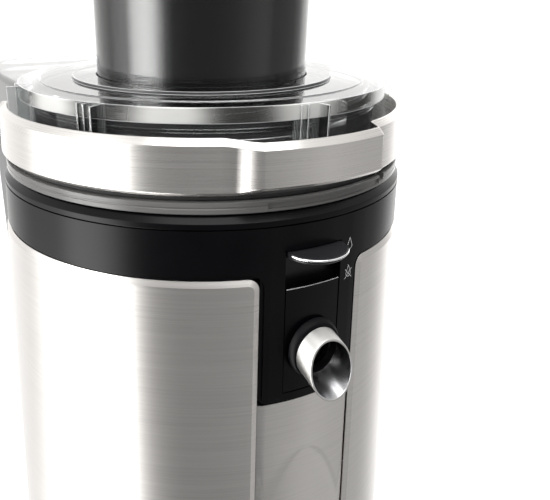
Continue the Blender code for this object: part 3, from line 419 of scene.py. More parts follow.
def filter_sheet(name):
    """Etched stainless sheet with rows of fine round holes."""
    sheet = Finish(name)
    spot = sheet.place()
    axes = sheet.axes(spot)
    turn = axes.sum("ARCTAN2", axes, axes.part("Y"))
    holes_round, rows_per_metre = 150.0, 520.0
    across = turn * (holes_round / math.tau)
    up = axes.part("Z") * rows_per_metre
    row = up.sum("FLOOR", up)
    shifted = across + row * 0.5
    from_column = shifted.sum("FRACT", shifted) - 0.5
    from_row = up.sum("FRACT", up) - 0.5
    reach = from_column * from_column + from_row * from_row
    hole = 1.0 - reach.between(0.055, 0.075)
    grit = sheet.noise(spot, 900.0)
    shader = sheet.surface({
        "Base Color": sheet.blend(grit, (0.55, 0.55, 0.54), (0.7, 0.7, 0.69)),
        "Metallic": 1.0,
        "Roughness": 0.26 + grit * 0.1,
        "Alpha": 1.0 - hole,
        "Normal": sheet.bump(reach.between(0.05, 0.12), 0.3, 0.0002),
    })
    return sheet.close(shader)


def laminated_core(name):
    """Stacked punched iron sheets with lacquer between them."""
    core = Finish(name)
    sheets_per_metre = 2000.0
    stack = core.axes(core.place()).part("Z") * sheets_per_metre
    edge = stack.sum("FRACT", stack).between(0.0, 0.25)
    shader = core.surface({
        "Base Color": core.blend(edge, (0.07, 0.06, 0.055), (0.34, 0.33, 0.32)),
        "Metallic": 0.9,
        "Roughness": 0.55 - edge * 0.1,
        "Normal": core.bump(edge, 0.5, 0.0002),
    })
    return core.close(shader)


def wound_copper(name):
    """Enamelled copper wire laid side by side."""
    copper = Finish(name)
    spot = copper.place()
    turns_per_metre = 1400.0
    turns = copper.axes(spot).part("Z") * turns_per_metre
    wire = turns.sum("PINGPONG", turns, 1.0).between(0.0, 0.8)
    cloud = copper.noise(spot, 120.0)
    shader = copper.surface({
        "Base Color": copper.blend(wire * 0.7 + cloud * 0.3, (0.24, 0.09, 0.04), (0.78, 0.38, 0.2)),
        "Metallic": 1.0,
        "Roughness": 0.32 + cloud * 0.15,
        "Normal": copper.bump(wire, 0.6, 0.0003),
    })
    return copper.close(shader)


def circuit_board(name):
    """Green lacquer over copper tracks."""
    board = Finish(name)
    spot = board.place()
    cells = {"Vector": spot, "Scale": 260.0}
    tracks = board.node("ShaderNodeTexVoronoi", {"feature": "DISTANCE_TO_EDGE"}, cells, 0)
    track = 1.0 - tracks.between(0.05, 0.09)
    shader = board.surface({
        "Base Color": board.blend(track, (0.015, 0.12, 0.05), (0.06, 0.26, 0.11)),
        "Roughness": 0.35 + track * 0.1,
        "Normal": board.bump(track, 0.3, 0.0002),
    })
    return board.close(shader)


STEEL = brushed_steel("brushed_steel", (0.67, 0.65, 0.63), roughness=0.30, grain=0.07, directional=0.88)
RING_STEEL = brushed_steel("ring_steel", (0.67, 0.65, 0.63), roughness=0.28, grain=0.06, directional=0.86)
SATIN = fine_steel("satin_steel", (0.60, 0.595, 0.58), roughness=0.42)
# Darker copy of the sleeve's steel for inside its bore: painted shade.
SPOUT_INNER_SHADE = fine_steel("spout_inner_painted_shade", (0.42, 0.42, 0.43), roughness=0.24)
POLISHED = fine_steel("polished_steel", (0.82, 0.815, 0.80), roughness=0.14)
CHROME = fine_steel("bright_chrome", (0.93, 0.93, 0.94), roughness=0.06)
ZINC = fine_steel("zinc_plate", (0.62, 0.62, 0.58), roughness=0.34, scale=900.0)
COLLAR_BLACK = moulded(
    "collar_black", (0.0012, 0.0012, 0.0018),
    roughness=0.25, grain_scale=1400.0, grain=0.008, smear=0.03, shine=0.13,
)
HUB_BLACK = moulded(
    "hub_black", (0.002, 0.002, 0.0028),
    roughness=0.48, grain_scale=1400.0, grain=0.01, smear=0.03, shine=0.10,
)
TAB_BLACK = moulded(
    "tab_black", (0.010, 0.010, 0.012),
    roughness=0.40, grain_scale=2600.0, grain=0.12, smear=0.05, shine=0.4,
)
PUSHER_BLACK = moulded(
    "pusher_black", (0.0015, 0.0015, 0.0028),
    roughness=0.12, grain_scale=500.0, grain=0.001, smear=0.02, shine=0.28,
)
TEXTURED_BLACK = moulded(
    "textured_black", (0.016, 0.016, 0.017), roughness=0.55, grain_scale=1500.0, grain=0.6, smear=0.1,
)
SMOOTH_BLACK = moulded(
    "smooth_black", (0.006, 0.006, 0.007),
    roughness=0.32, grain_scale=900.0, grain=0.03, smear=0.04, shine=0.26,
)
RUBBER = moulded(
    "soft_rubber", (0.020, 0.020, 0.020), roughness=0.78, grain_scale=1900.0, grain=0.5, smear=0.12,
)
CARBON = moulded("pressed_carbon", (0.02, 0.02, 0.02), roughness=0.6, grain_scale=3000.0, grain=0.8)
# Grey for the printed marks and the knob's pointer, and for the painted highlight along the spout's plate.
PRINT_AND_HIGHLIGHT_GREY = moulded("printed_marks_and_painted_highlight", (0.50, 0.50, 0.51), roughness=0.5, grain_scale=2500.0, grain=0.1)
CLEAR = clear_moulding(
    "clear_moulding", tint=(0.945, 0.955, 0.955), body=0.05, haze=(0.9, 0.9, 0.9), roughness=0.09,
)
# Whiter, half-opaque copy of the clear plastic for rounded edges: a painted highlight for the light the
# plastic carries to them.
CLEAR_EDGE_HIGHLIGHT = clear_moulding(
    "clear_edge_painted_highlight", tint=(0.97, 0.975, 0.975), body=0.50, haze=(0.92, 0.93, 0.93), roughness=0.2,
)
CHUTE_CLEAR = clear_moulding("chute_clear", tint=(0.965, 0.97, 0.97), body=0.010, haze=(1.0, 1.0, 1.0))
# Dimmer copy of the clear plastic, with a dark skin and little mirroring, for faces that look in or down:
# painted shade.
CLEAR_INNER_SHADE = clear_moulding(
    "clear_inner_painted_shade", tint=(0.97, 0.975, 0.975), body=0.006, haze=(0.25, 0.25, 0.25), gloss=1.12,
)
# Clear flange wall with painted light and shade in waves.
CLEAR_BAND_PAINTED_LIGHT = painted_wave_band("clear_band_painted_light")
# Dark copy of the clear plastic for the skirt under the flange and the disc's step: painted shade.
SKIRT_SHADE = clear_moulding(
    "clear_skirt_painted_shade", tint=(0.62, 0.62, 0.63), body=0.34, haze=(0.115, 0.115, 0.12), roughness=0.12,
)
SMOKE = clear_moulding(
    "smoked_moulding", tint=(0.22, 0.22, 0.23), body=0.66, haze=(0.205, 0.202, 0.198), roughness=0.14,
)
CONTAINER_SMOKE = clear_moulding(
    "container_smoke", tint=(0.24, 0.25, 0.26), body=0.45, haze=(0.06, 0.062, 0.066), roughness=0.14,
)
MESH_SHEET = filter_sheet("filter_sheet")
IRON = laminated_core("laminated_iron")
COPPER = wound_copper("wound_copper")
BOARD = circuit_board("circuit_board")


# ---------------------------------------------------------------- mesh makers
def rounded(corners, steps=3, closed=True):
    """Outline through (across, up, radius) corners, and which of its stretches are arcs."""
    points, arcs = [], []
    count = len(corners)
    for i, (across, up, size) in enumerate(corners):
        here = Vector((across, up))
        back = (Vector(corners[i - 1][:2]) - here).normalized()
        ahead = (Vector(corners[(i + 1) % count][:2]) - here).normalized()
        at_end = not closed and i in (0, count - 1)
        if size <= 0.0 or at_end:
            points.append((across, up))
            arcs.append(False)
            continue
        half = back.angle(ahead) / 2
        sweep = math.pi - 2 * half
        centre = here + (back + ahead).normalized() * size / math.sin(half)
        start = here + back * size / math.tan(half) - centre
        end = here + ahead * size / math.tan(half) - centre
        for k in range(steps + 1):
            share = k / steps
            spoke = (start * math.sin((1 - share) * sweep) + end * math.sin(share * sweep)) / math.sin(sweep)
            points.append(tuple(centre + spoke))
            arcs.append(k < steps)
    return points, arcs


def skinned(loops, closed=False, arcs=None, capped=True):
    """Points and faces over equal closed loops; the third list marks the faces on arcs."""
    count, rows = len(loops[0]), len(loops)
    points = [point for loop in loops for point in loop]
    faces, marks = [], []
    for row in range(rows if closed else rows - 1):
        near, far = row * count, (row + 1) % rows * count
        for i in range(count):
            j = (i + 1) % count
            faces.append((near + i, near + j, far + j, far + i))
            marks.append(bool(arcs and arcs[i]))
    if capped and not closed:
        faces += [tuple(range(count)), tuple(range((rows - 1) * count, rows * count))]
        marks += [False, False]
    return points, faces, marks


def cutter_object(points, faces):
    mesh = bpy.data.meshes.new("cutter")
    mesh.from_pydata(points, [], faces)
    tidy = bmesh.new()
    tidy.from_mesh(mesh)
    bmesh.ops.recalc_face_normals(tidy, faces=tidy.faces)
    tidy.to_mesh(mesh)
    tidy.free()
    made = bpy.data.objects.new("cutter", mesh)
    bpy.context.scene.collection.objects.link(made)
    return made


def carved(made, steps):
    """Cut or join shapes, each (operation, shape), with an object's mesh."""
    cutters = []
    for operation, shape in steps:
        cutter = cutter_object(*shape[:2])
        cutters.append(cutter)
        step = made.modifiers.new("step", "BOOLEAN")
        step.operation, step.solver, step.object = operation, "EXACT", cutter
    bpy.context.view_layer.update()
    evaluated = made.evaluated_get(bpy.context.evaluated_depsgraph_get())
    result = bpy.data.meshes.new_from_object(evaluated)
    made.modifiers.clear()
    made.data = result
    for cutter in cutters:
        bpy.data.objects.remove(cutter, do_unlink=True)


def soften_edges(mesh, width, angle, segments, edge_slot):
    """Round every edge that is sharper than an angle."""
    shell = bmesh.new()
    shell.from_mesh(mesh)
    limit = math.radians(angle)
    inner_edges = [edge for edge in shell.edges if len(edge.link_faces) == 2]
    edges = [edge for edge in inner_edges if edge.calc_face_angle(0.0) > limit]
    bmesh.ops.bevel(
        shell, geom=edges, offset=width, offset_type="OFFSET", segments=segments, profile=0.5,
        affect="EDGES", clamp_overlap=True, material=edge_slot,
    )
    shell.to_mesh(mesh)
    shell.free()


def outward_share(face):
    """How squarely a face looks away from the motor axis."""
    out = Vector((face.center.x, face.center.y - AXIS_Y, 0.0)).normalized()
    return out.dot(face.normal)


def paint_shade_on_inner_faces(mesh, look):
    """Give the faces that look down or in towards the axis a dimmer, less mirroring finish: painted shade."""
    mesh.materials.append(look)
    for face in mesh.polygons:
        if outward_share(face) < -0.3 or face.normal.z < -0.4:
            face.material_index = len(mesh.materials) - 1


def mark_band(mesh, look, radius, low, high):
    """Give the upright wall at a radius, between two heights, its own finish."""
    mesh.materials.append(look)
    for face in mesh.polygons:
        reach = math.hypot(face.center.x, face.center.y - AXIS_Y)
        if abs(reach - radius) < 0.0006 and low < face.center.z < high and outward_share(face) > 0.7:
            face.material_index = len(mesh.materials) - 1


def piece(name, shape, look, body, stands_for=(), steps=(), edge=0.0, edge_angle=32.0,
          edge_segments=3, painted_light_look=None, sharp=38.0, painted_shade_look=None, bands=()):
    """Make a mesh object of (points, faces, marks), finish its edges and let it ride on a body."""
    points, faces, marks = shape
    mesh = bpy.data.meshes.new(name)
    mesh.from_pydata(points, [], faces)
    mesh.materials.append(look)
    # Second finish for marked faces and rounded edges: a painted highlight on the clear pieces, painted shade
    # inside the spout.
    if painted_light_look:
        mesh.materials.append(painted_light_look)
        mesh.polygons.foreach_set("material_index", [int(mark) for mark in marks])
    shell = bmesh.new()
    shell.from_mesh(mesh)
    bmesh.ops.remove_doubles(shell, verts=shell.verts, dist=2e-6)
    bmesh.ops.recalc_face_normals(shell, faces=shell.faces)
    shell.to_mesh(mesh)
    shell.free()
    made = bpy.data.objects.new(name, mesh)
    bpy.context.scene.collection.objects.link(made)
    if steps:
        carved(made, steps)
    if edge:
        soften_edges(made.data, edge, edge_angle, edge_segments, 1 if painted_light_look else -1)
    if painted_shade_look:
        paint_shade_on_inner_faces(made.data, painted_shade_look)
    for band in bands:
        mark_band(made.data, *band)
    made.data.shade_smooth()
    made.data.set_sharp_from_angle(angle=math.radians(sharp))
    weighted = made.modifiers.new("even_shading", "WEIGHTED_NORMAL")
    weighted.keep_sharp = True
    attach(made, body)
    if stands_for:
        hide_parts(*stands_for)
    return made


def turned(corners, steps=160, arc_steps=3, at=None):
    """Turn (radius, height, corner radius) corners about the motor axis, or about another one."""
    on_axis = corners[0][0] == 0.0 and corners[-1][0] == 0.0
    outline, arcs = rounded(corners, arc_steps, closed=not on_axis)
    at = at or Matrix.Translation((0.0, AXIS_Y, 0.0))
    loops = []
    for turn in span(0.0, math.tau, steps)[:-1]:
        loops.append([at @ Vector((r * math.sin(turn), -r * math.cos(turn), z)) for r, z in outline])
    return skinned(loops, closed=True, arcs=arcs)


def box_shape(low, high):
    corners = [(low[0], low[1]), (high[0], low[1]), (high[0], high[1]), (low[0], high[1])]
    return skinned([[(x, y, z) for x, y in corners] for z in (low[2], high[2])])


def joined(shapes):
    """Several shapes as one."""
    points, faces, marks = [], [], []
    for more_points, more_faces, more_marks in shapes:
        start = len(points)
        points += list(more_points)
        faces += [tuple(start + i for i in face) for face in more_faces]
        marks += list(more_marks)
    return points, faces, marks


def rod(path, radius, sides=8, flat=1.0):
    """Thin bar along a path of points, flattened in height by a share."""
    loops = []
    for i, point in enumerate(path):
        ahead = Vector(path[min(i + 1, len(path) - 1)]) - Vector(path[max(i - 1, 0)])
        side = ahead.cross(UP)
        side = side.normalized() if side.length > 1e-9 else Vector((1, 0, 0))
        up = side.cross(ahead).normalized() * flat
        turns = span(0.0, math.tau, sides)[:-1]
        loops.append([Vector(point) + (side * math.cos(t) + up * math.sin(t)) * radius for t in turns])
    return skinned(loops)


def ribbon(outline, width, closed, seat, angle, centre_z):
    """Flat line on the skin along an outline of (across, up) points."""
    count = len(outline)
    shapes = []
    for i in range(count if closed else count - 1):
        start, end = Vector(outline[i]), Vector(outline[(i + 1) % count])
        along = (end - start).normalized() * width / 2
        side = Vector((-along.y, along.x))
        corners = [start - along + side, end + along + side, end + along - side, start - along - side]
        loops = []
        for lift in (0.0, 0.00006):
            loop = []
            for spot in corners:
                turn, z = angle + math.degrees(spot.x / seat), centre_z + spot.y
                loop.append(polar(turn, skin_radius(z) - SHROUD_RECESS + lift, z))
            loops.append(loop)
        shapes.append(skinned(loops))
    return joined(shapes)


# ---------------------------------------------------------------- covers
def panel_columns():
    """Down one side of a panel and round its corners: rim angle, rim drop, face angle, face drop."""
    corner, width = PANEL_CORNER, PANEL_BEVEL_WIDTH
    turns = radians_over(0.0, 90.0, 8)
    rim = [(corner * (1 - math.cos(t)), corner * (1 - math.sin(t))) for t in turns]
    inner = corner - width
    face = [(width + inner * (1 - math.cos(t)), width + inner * (1 - math.sin(t))) for t in turns]
    per_metre = math.degrees(1.0 / BODY_RADIUS)
    front = [(PANEL_FRONT_ANGLE + r[0] * per_metre, r[1], PANEL_FRONT_ANGLE + f[0] * per_metre, f[1])
             for r, f in zip(rim, face)]
    rear = [(PANEL_REAR_ANGLE - r[0] * per_metre, r[1], PANEL_REAR_ANGLE - f[0] * per_metre, f[1])
            for r, f in zip(rim, face)][::-1]
    middle = [(angle, 0.0, angle, width) for angle in span(front[-1][0], rear[0][0], 48)[1:-1]]
    return front + middle + rear


def side_panel(name, side):
    depth, edge = PANEL_BEVEL_DEPTH, 0.0004
    loops = []
    for rim_angle, rim_drop, face_angle, face_drop in panel_columns():
        rim_low, rim_high = PANEL_FOOT_Z + rim_drop, PANEL_TOP_Z - rim_drop
        face_low, face_high = PANEL_FOOT_Z + face_drop, PANEL_TOP_Z - face_drop
        rim_angle, face_angle = side * rim_angle, side * face_angle
        loops.append([
            polar(rim_angle, skin_radius(rim_low) - depth - edge, rim_low),
            polar(rim_angle, skin_radius(rim_low) - depth, rim_low),
            polar(face_angle, skin_radius(face_low), face_low),
            polar(face_angle, skin_radius(face_high), face_high),
            polar(rim_angle, skin_radius(rim_high) - depth, rim_high),
            polar(rim_angle, skin_radius(rim_high) - depth - edge, rim_high),
        ])
    points, faces, marks = skinned(loops, capped=False)
    last = len(points) - 6
    for start in (0, last):
        faces += [(start, start + 1, start + 4, start + 5), (start + 1, start + 2, start + 3, start + 4)]
        marks += [False, False]
    piece(name, (points, faces, marks), STEEL, "base", [name],
          edge=0.00028, edge_angle=18.0, sharp=30.0)


def shell_loops(columns, top, recess, wall):
    """Sections of a cover on the flared skin, for (angle, foot height) columns."""
    loops = []
    for angle, foot in columns:
        high, low = skin_radius(top) - recess, skin_radius(foot) - recess
        section = [(high, top), (low, foot), (low - wall, foot), (high - wall, top)]
        loops.append([polar(angle, radius, z) for radius, z in section])
    return loops


def tongue_columns(edge, foot, corner, shoulder):
    """Foot heights round the whole cover: the tongue in front, its shoulders, and the plain band."""
    per_metre = math.degrees(1.0 / BODY_RADIUS)
    turns = radians_over(0.0, 90.0, 5)
    half = [(edge - corner * (1 - math.cos(t)) * per_metre, foot + corner * (1 - math.sin(t))) for t in turns]
    half += [(edge * 0.42, foot), (edge * 0.2, foot)]
    front = [(-angle, z) for angle, z in half] + [(0.0, foot)] + half[::-1]
    rear_end = 360.0 - shoulder[-1][0]
    rear = [(angle, shoulder[-1][1]) for angle in span(shoulder[-1][0], rear_end, 110)[1:-1]]
    return front + shoulder + rear + [(360.0 - angle, z) for angle, z in shoulder[::-1]]


def front_shroud():
    """Black cover: a raised skin with soft edges over a recessed floor that shows as a groove."""
    per_metre = math.degrees(1.0 / BODY_RADIUS)
    edge = PANEL_FRONT_ANGLE - GROOVE_WIDTH * per_metre
    reach = PANEL_CORNER + GROOVE_WIDTH
    centre_z = PANEL_TOP_Z - PANEL_CORNER
    shoulder = []
    for turn in radians_over(0.0, 90.0, 8):
        across = PANEL_CORNER - reach * math.cos(turn)
        shoulder.append((PANEL_FRONT_ANGLE + across * per_metre + 0.02, centre_z + reach * math.sin(turn)))
    columns = tongue_columns(edge, SHROUD_FOOT_Z + 0.0006, TONGUE_CORNER * 0.7, shoulder)
    skin = skinned(shell_loops(columns, COLLAR_SEAM_Z - SEAM, SHROUD_RECESS, SHROUD_SKIN), closed=True)
    low = (-WINDOW_HALF_WIDTH, AXIS_Y - 0.110, PLATE_FOOT_Z - SEAM)
    high = (WINDOW_HALF_WIDTH, AXIS_Y - 0.070, WINDOW_TOP_Z)
    piece("front_shroud", skin, COLLAR_BLACK, "base", ["front_shroud"],
          steps=[("DIFFERENCE", box_shape(low, high))], edge=0.0004, edge_angle=40.0)
    floor_edge = PANEL_FRONT_ANGLE - SEAM * per_metre
    floor_shoulder = [(floor_edge + 0.02, PANEL_TOP_Z + SEAM), (floor_edge + 1.0, PANEL_TOP_Z + SEAM)]
    columns = tongue_columns(floor_edge, SHROUD_FOOT_Z, TONGUE_CORNER, floor_shoulder)
    recess = SHROUD_RECESS + GROOVE_DEPTH
    floor = skinned(shell_loops(columns, COLLAR_SEAM_Z - 0.0020, recess, SHROUD_SKIN), closed=True)
    piece("shroud_groove", floor, COLLAR_BLACK, "base",
          steps=[("DIFFERENCE", box_shape(low, high))], edge=0.0002, edge_angle=40.0)


def front_strip():
    """Recessed steel strip below the tongue, with its long edges folded back."""
    edge = PANEL_FRONT_ANGLE - math.degrees(SEAM / BODY_RADIUS)
    loops = []
    for angle in span(-edge, edge, 24):
        fold = 0.0006 * smoothstep((abs(angle) - edge + 0.6) / 0.6)
        section = []
        for z in (SHROUD_FOOT_Z - SEAM, PANEL_FOOT_Z):
            section.append((skin_radius(z) - 0.0012 - fold, z))
        section += [(radius - 0.0006, z) for radius, z in section[::-1]]
        loops.append([polar(angle, radius, z) for radius, z in section])
    hole = turned([(0.0, 0.02, 0.0), (0.0036, 0.02, 0.0), (0.0036, -0.02, 0.0), (0.0, -0.02, 0.0)],
                  24, at=knob_frame())
    piece("front_strip", skinned(loops), STEEL, "base", ["front_strip"],
          steps=[("DIFFERENCE", hole)])


def rear_cover():
    """Textured cover behind the container, with two banks of air slots."""
    edge = PANEL_REAR_ANGLE + math.degrees(SEAM / BODY_RADIUS)
    loops = []
    for angle in span(edge, 360.0 - edge, 48):
        section = [(skin_radius(z), z) for z in (PANEL_TOP_Z, PANEL_FOOT_Z)]
        section += [(radius - 0.0012, z) for radius, z in section[::-1]]
        loops.append([polar(angle, radius, z) for radius, z in section])
    rows, pitch, slot_height = 9, 0.0085, 0.0034
    lowest, bank_x, half_width_x = 0.060, 0.030, 0.016
    slots = []
    for side in (-1, 1):
        for row in range(rows):
            z = lowest + pitch * row
            low = (side * bank_x - half_width_x, AXIS_Y + 0.080, z)
            high = (side * bank_x + half_width_x, AXIS_Y + 0.110, z + slot_height)
            slots.append(("DIFFERENCE", box_shape(low, high)))
    piece("rear_cover", skinned(loops), TEXTURED_BLACK, "base", ["rear_cover"], steps=slots)


def collar():
    """Black collar ring with its broad chamfer."""
    corners = [
        (COLLAR_RADIUS, COLLAR_Z, 0.0005), (COLLAR_RADIUS, COLLAR_SEAM_Z, 0.00035),
        (COLLAR_INNER_RADIUS, COLLAR_SEAM_Z, 0.0003), (COLLAR_INNER_RADIUS, COLLAR_TOP_Z, 0.0004),
        (COLLAR_RADIUS - COLLAR_CHAMFER, COLLAR_TOP_Z, 0.0005),
    ]
    piece("collar_trim", turned(corners, 192), COLLAR_BLACK, "base", ["collar_trim"])


# ---------------------------------------------------------------- spout and drip stop
def spout_loop(radius, reach, tilt=90.0, sides=72):
    """Cut through a round tube on the spout's axis, upright or tilted."""
    back = (SPOUT_MOUTH_REACH - reach) * math.tan(math.radians(SPOUT_ANGLE))
    centre = Vector((0.0, AXIS_Y - reach, SPOUT_MOUTH_Z + back))
    lean = math.radians(tilt)
    slant = radius / math.sin(math.radians(tilt - SPOUT_ANGLE))
    down = Vector((0.0, -math.cos(lean), -math.sin(lean)))
    turns = span(0.0, math.tau, sides)[:-1]
    return [centre + Vector((radius * math.cos(t), 0, 0)) + down * slant * math.sin(t) for t in turns]


def spout_bar(radius, start, end):
    """Round bar on the spout's axis between two distances from the motor axis."""
    return skinned([spout_loop(radius, start), spout_loop(radius, end)])


def spout():
    plate_front = skin_radius(SPOUT_MOUTH_Z) - SHROUD_RECESS
    sleeve_back = plate_front + GAP + 0.0030
    inner = SPOUT_RADIUS - SPOUT_WALL
    lip = 0.00025
    tilt = SPOUT_MOUTH_TILT
    sleeve = [spout_loop(inner, sleeve_back), spout_loop(SPOUT_RADIUS, sleeve_back)]
    sleeve += [spout_loop(radius, SPOUT_MOUTH_REACH - drop, tilt) for radius, drop in (
        (SPOUT_RADIUS, lip * 1.4), (SPOUT_RADIUS - lip * 0.3, lip * 0.4), (SPOUT_RADIUS - lip, 0.0),
        (inner + lip, 0.0), (inner + lip * 0.3, lip * 0.4), (inner, lip * 1.4),
    )]
    points, faces, marks = skinned(sleeve, closed=True)
    sides = len(sleeve[0])
    # The sleeve's inner lip and bore get the darker steel: painted shade.
    marks = [i // sides in (6, 7) for i in range(len(faces))]
    piece("spout_sleeve", (points, faces, marks), SATIN, "base", ["spout_sleeve"],
          painted_light_look=SPOUT_INNER_SHADE, sharp=50.0)
    nozzle = [spout_loop(radius, SLIDER_FRONT + GAP) for radius in (NOZZLE_BORE, NOZZLE_RADIUS)]
    nozzle += [spout_loop(radius, NOZZLE_REACH - drop, tilt) for radius, drop in (
        (NOZZLE_RADIUS, 0.0005), (NOZZLE_RADIUS - 0.0004, 0.0), (NOZZLE_BORE + 0.0004, 0.0),
        (NOZZLE_BORE, 0.0005),
    )]
    piece("spout_nozzle", skinned(nozzle, closed=True), SMOOTH_BLACK, "base", ["spout_nozzle"])
    bore = NOZZLE_RADIUS + GAP
    seat, neck, dome_height = plate_front + GAP, 0.0003, 0.0029
    hub = [spout_loop(bore, seat), spout_loop(HUB_RADIUS, seat)]
    for share in (0.2, 0.4, 0.6, 0.8, 0.95):
        swell = math.sqrt(1.0 - share * share)
        radius = SPOUT_RADIUS + neck + (HUB_RADIUS - SPOUT_RADIUS - neck) * swell
        hub.append(spout_loop(radius, seat + dome_height * share))
    hub.append(spout_loop(bore, seat + 0.0028))
    piece("spout_hub", skinned(hub, closed=True), HUB_BLACK, "base", ["spout_hub"])
    half_angle = math.degrees((WINDOW_HALF_WIDTH - SEAM) / plate_front)
    recess = SHROUD_RECESS + 0.0003
    columns = [(angle, PLATE_FOOT_Z) for angle in span(-half_angle, half_angle, 16)]
    plate = skinned(shell_loops(columns, PLATE_TOP_Z, recess, 0.0022))
    cut = spout_bar(bore, SLIDER_FRONT - 0.002, plate_front + 0.006)
    piece("spout_plate", plate, COLLAR_BLACK, "base", ["spout_plate"],
          steps=[("DIFFERENCE", cut)], edge=0.0003, edge_angle=50.0)


def plate_edge_highlight():
    """Grey rod along the top of the spout's plate: a painted highlight where its edge catches the light."""
    half = math.degrees((WINDOW_HALF_WIDTH - 0.0006) / skin_radius(PLATE_TOP_Z))
    reach = skin_radius(PLATE_TOP_Z) - SHROUD_RECESS - 0.0003
    path = [polar(angle, reach, PLATE_TOP_Z) for angle in span(-half, half, 16)]
    piece("plate_edge_highlight", rod(path, 0.00016, 8), PRINT_AND_HIGHLIGHT_GREY, "base")


def drip_stop():
    """Finger tab of the drip stop: a crescent shelf with a bright front edge and a scooped underside."""
    edge_reach = skin_radius(TAB_TOP_Z)
    crown = TAB_REACH - edge_reach
    half = TAB_HALF_WIDTH
    back = SLIDER_FRONT + GAP
    loops = []
    for turn in radians_over(4.0, 176.0, 40):
        across, out = math.cos(turn), math.sin(turn)
        front = edge_reach + (crown - 0.0006) * out
        sag = 0.0005 * out
        under = TAB_TOP_Z - 0.0020 - 0.0008 * out
        section = rounded([
            (back, TAB_TOP_Z, 0.0), (front, TAB_TOP_Z - sag, 0.00035), (front - 0.0002, under, 0.0009),
            (front - 0.0040 * out - 0.0010, under - 0.0003, 0.0), (back, under - 0.0006, 0.0),
        ])[0]
        loops.append([(half * across * 0.985, AXIS_Y - reach, z) for reach, z in section])
    piece("drip_stop_tab", skinned(loops), TAB_BLACK, "drip_stop", ["drip_stop_tab"],
          sharp=50.0)
    path = []
    for turn in radians_over(172.0, 8.0, 44):
        across, out = math.cos(turn), math.sin(turn)
        y = AXIS_Y - edge_reach - (crown - 0.0004) * out
        path.append((half * across, y, TAB_TOP_Z - 0.0005 - 0.0005 * out))
    end_x = half * math.cos(math.radians(8.0)) + 0.0002
    end_y, end_z = path[-2][1], path[-2][2]
    for drop in (0.0006, 0.0014, 0.0024):
        path.append((end_x, end_y, end_z - drop))
    piece("tab_trim", rod(path, 0.00042, 10), CHROME, "drip_stop", ["tab_trim"])


def drop_marks():
    """Two printed marks beside the tab: a drop for open, and a crossed drop for closed."""
    radius, tip, line, cross = 0.0013, 0.0034, 0.00022, 0.0019
    open_z, closed_z = 0.2163, 0.2049
    outline = [(0.0, tip)]
    for turn in radians_over(25.0, -205.0, 16):
        outline.append((radius * math.cos(turn), radius * math.sin(turn)))
    shapes = [ribbon(outline, line, True, BODY_RADIUS, MARK_ANGLE, z) for z in (open_z, closed_z)]
    for rise in (cross, -cross):
        stroke = [(-cross, -rise), (cross, rise)]
        shapes.append(ribbon(stroke, line, False, BODY_RADIUS, MARK_ANGLE, closed_z))
    piece("drip_stop_marks", joined(shapes), PRINT_AND_HIGHLIGHT_GREY, "base")


# ---------------------------------------------------------------- speed knob
def knob_frame():
    """Frame on the strip's surface with its Z along the knob's axis and X across the machine."""
    outward = Vector((0.0, -1.0, BODY_FLARE)).normalized()
    across = Vector((1.0, 0.0, 0.0))
    up = outward.cross(across)
    seat = skin_radius(KNOB_Z) - 0.0012
    turn = Matrix((across, up, outward)).transposed().to_4x4()
    return Matrix.Translation((0.0, AXIS_Y - seat, KNOB_Z)) @ turn


def speed_knob():
    at = knob_frame()
    bezel = [
        (BEZEL_RADIUS, GAP, 0.0), (BEZEL_RADIUS, 0.0014, 0.0005), (BEZEL_RADIUS - 0.0012, 0.0022, 0.0004),
        (KNOB_RADIUS + 0.0010, 0.0020, 0.0003), (KNOB_RADIUS - 0.0002, 0.0013, 0.0002),
        (0.0038, 0.0013, 0.0), (0.0038, GAP, 0.0),
    ]
    piece("knob_bezel", turned(bezel, 96, at=at), SATIN, "base", ["knob_bezel"])
    profile = rounded([
        (0.0, 0.0150, 0.0), (0.0128, 0.0150, 0.0012), (0.0148, 0.0140, 0.0008), (0.0158, 0.0045, 0.0003),
        (KNOB_RADIUS, 0.0040, 0.0003), (KNOB_RADIUS, 0.0027, 0.0), (0.0, 0.0027, 0.0),
    ], closed=False)[0]
    rib_count, rib_depth = 24, 0.0005
    loops = []
    for turn in span(0.0, math.tau, 192)[:-1]:
        grip = rib_depth * (0.5 + 0.5 * math.cos(rib_count * turn)) ** 2
        loop = []
        for radius, height in profile:
            ribbed = radius > 0.0142 and 0.0042 < height < 0.0142
            reach = radius - grip * ribbed
            loop.append(at @ Vector((reach * math.sin(turn), -reach * math.cos(turn), height)))
        loops.append(loop)
    piece("speed_knob", skinned(loops, closed=True), SMOOTH_BLACK, "speed_knob",
          ["speed_knob"])
    pointer = box_shape((-0.0006, 0.0052, 0.0146), (0.0006, 0.0124, 0.01515))
    pointer = ([at @ Vector(point) for point in pointer[0]], pointer[1], pointer[2])
    piece("knob_pointer", pointer, PRINT_AND_HIGHLIGHT_GREY, "speed_knob", edge=0.00015)
    ticks = []
    for angle in span(-67.5, 67.5, 6):
        turn = Matrix.Rotation(math.radians(angle), 4, "Z")
        tick = box_shape((-0.00025, 0.0203, 0.0), (0.00025, 0.0218, 0.00016))
        ticks.append(([at @ turn @ Vector(point) for point in tick[0]], tick[1], tick[2]))
    piece("dial_ticks", joined(ticks), SMOOTH_BLACK, "base")


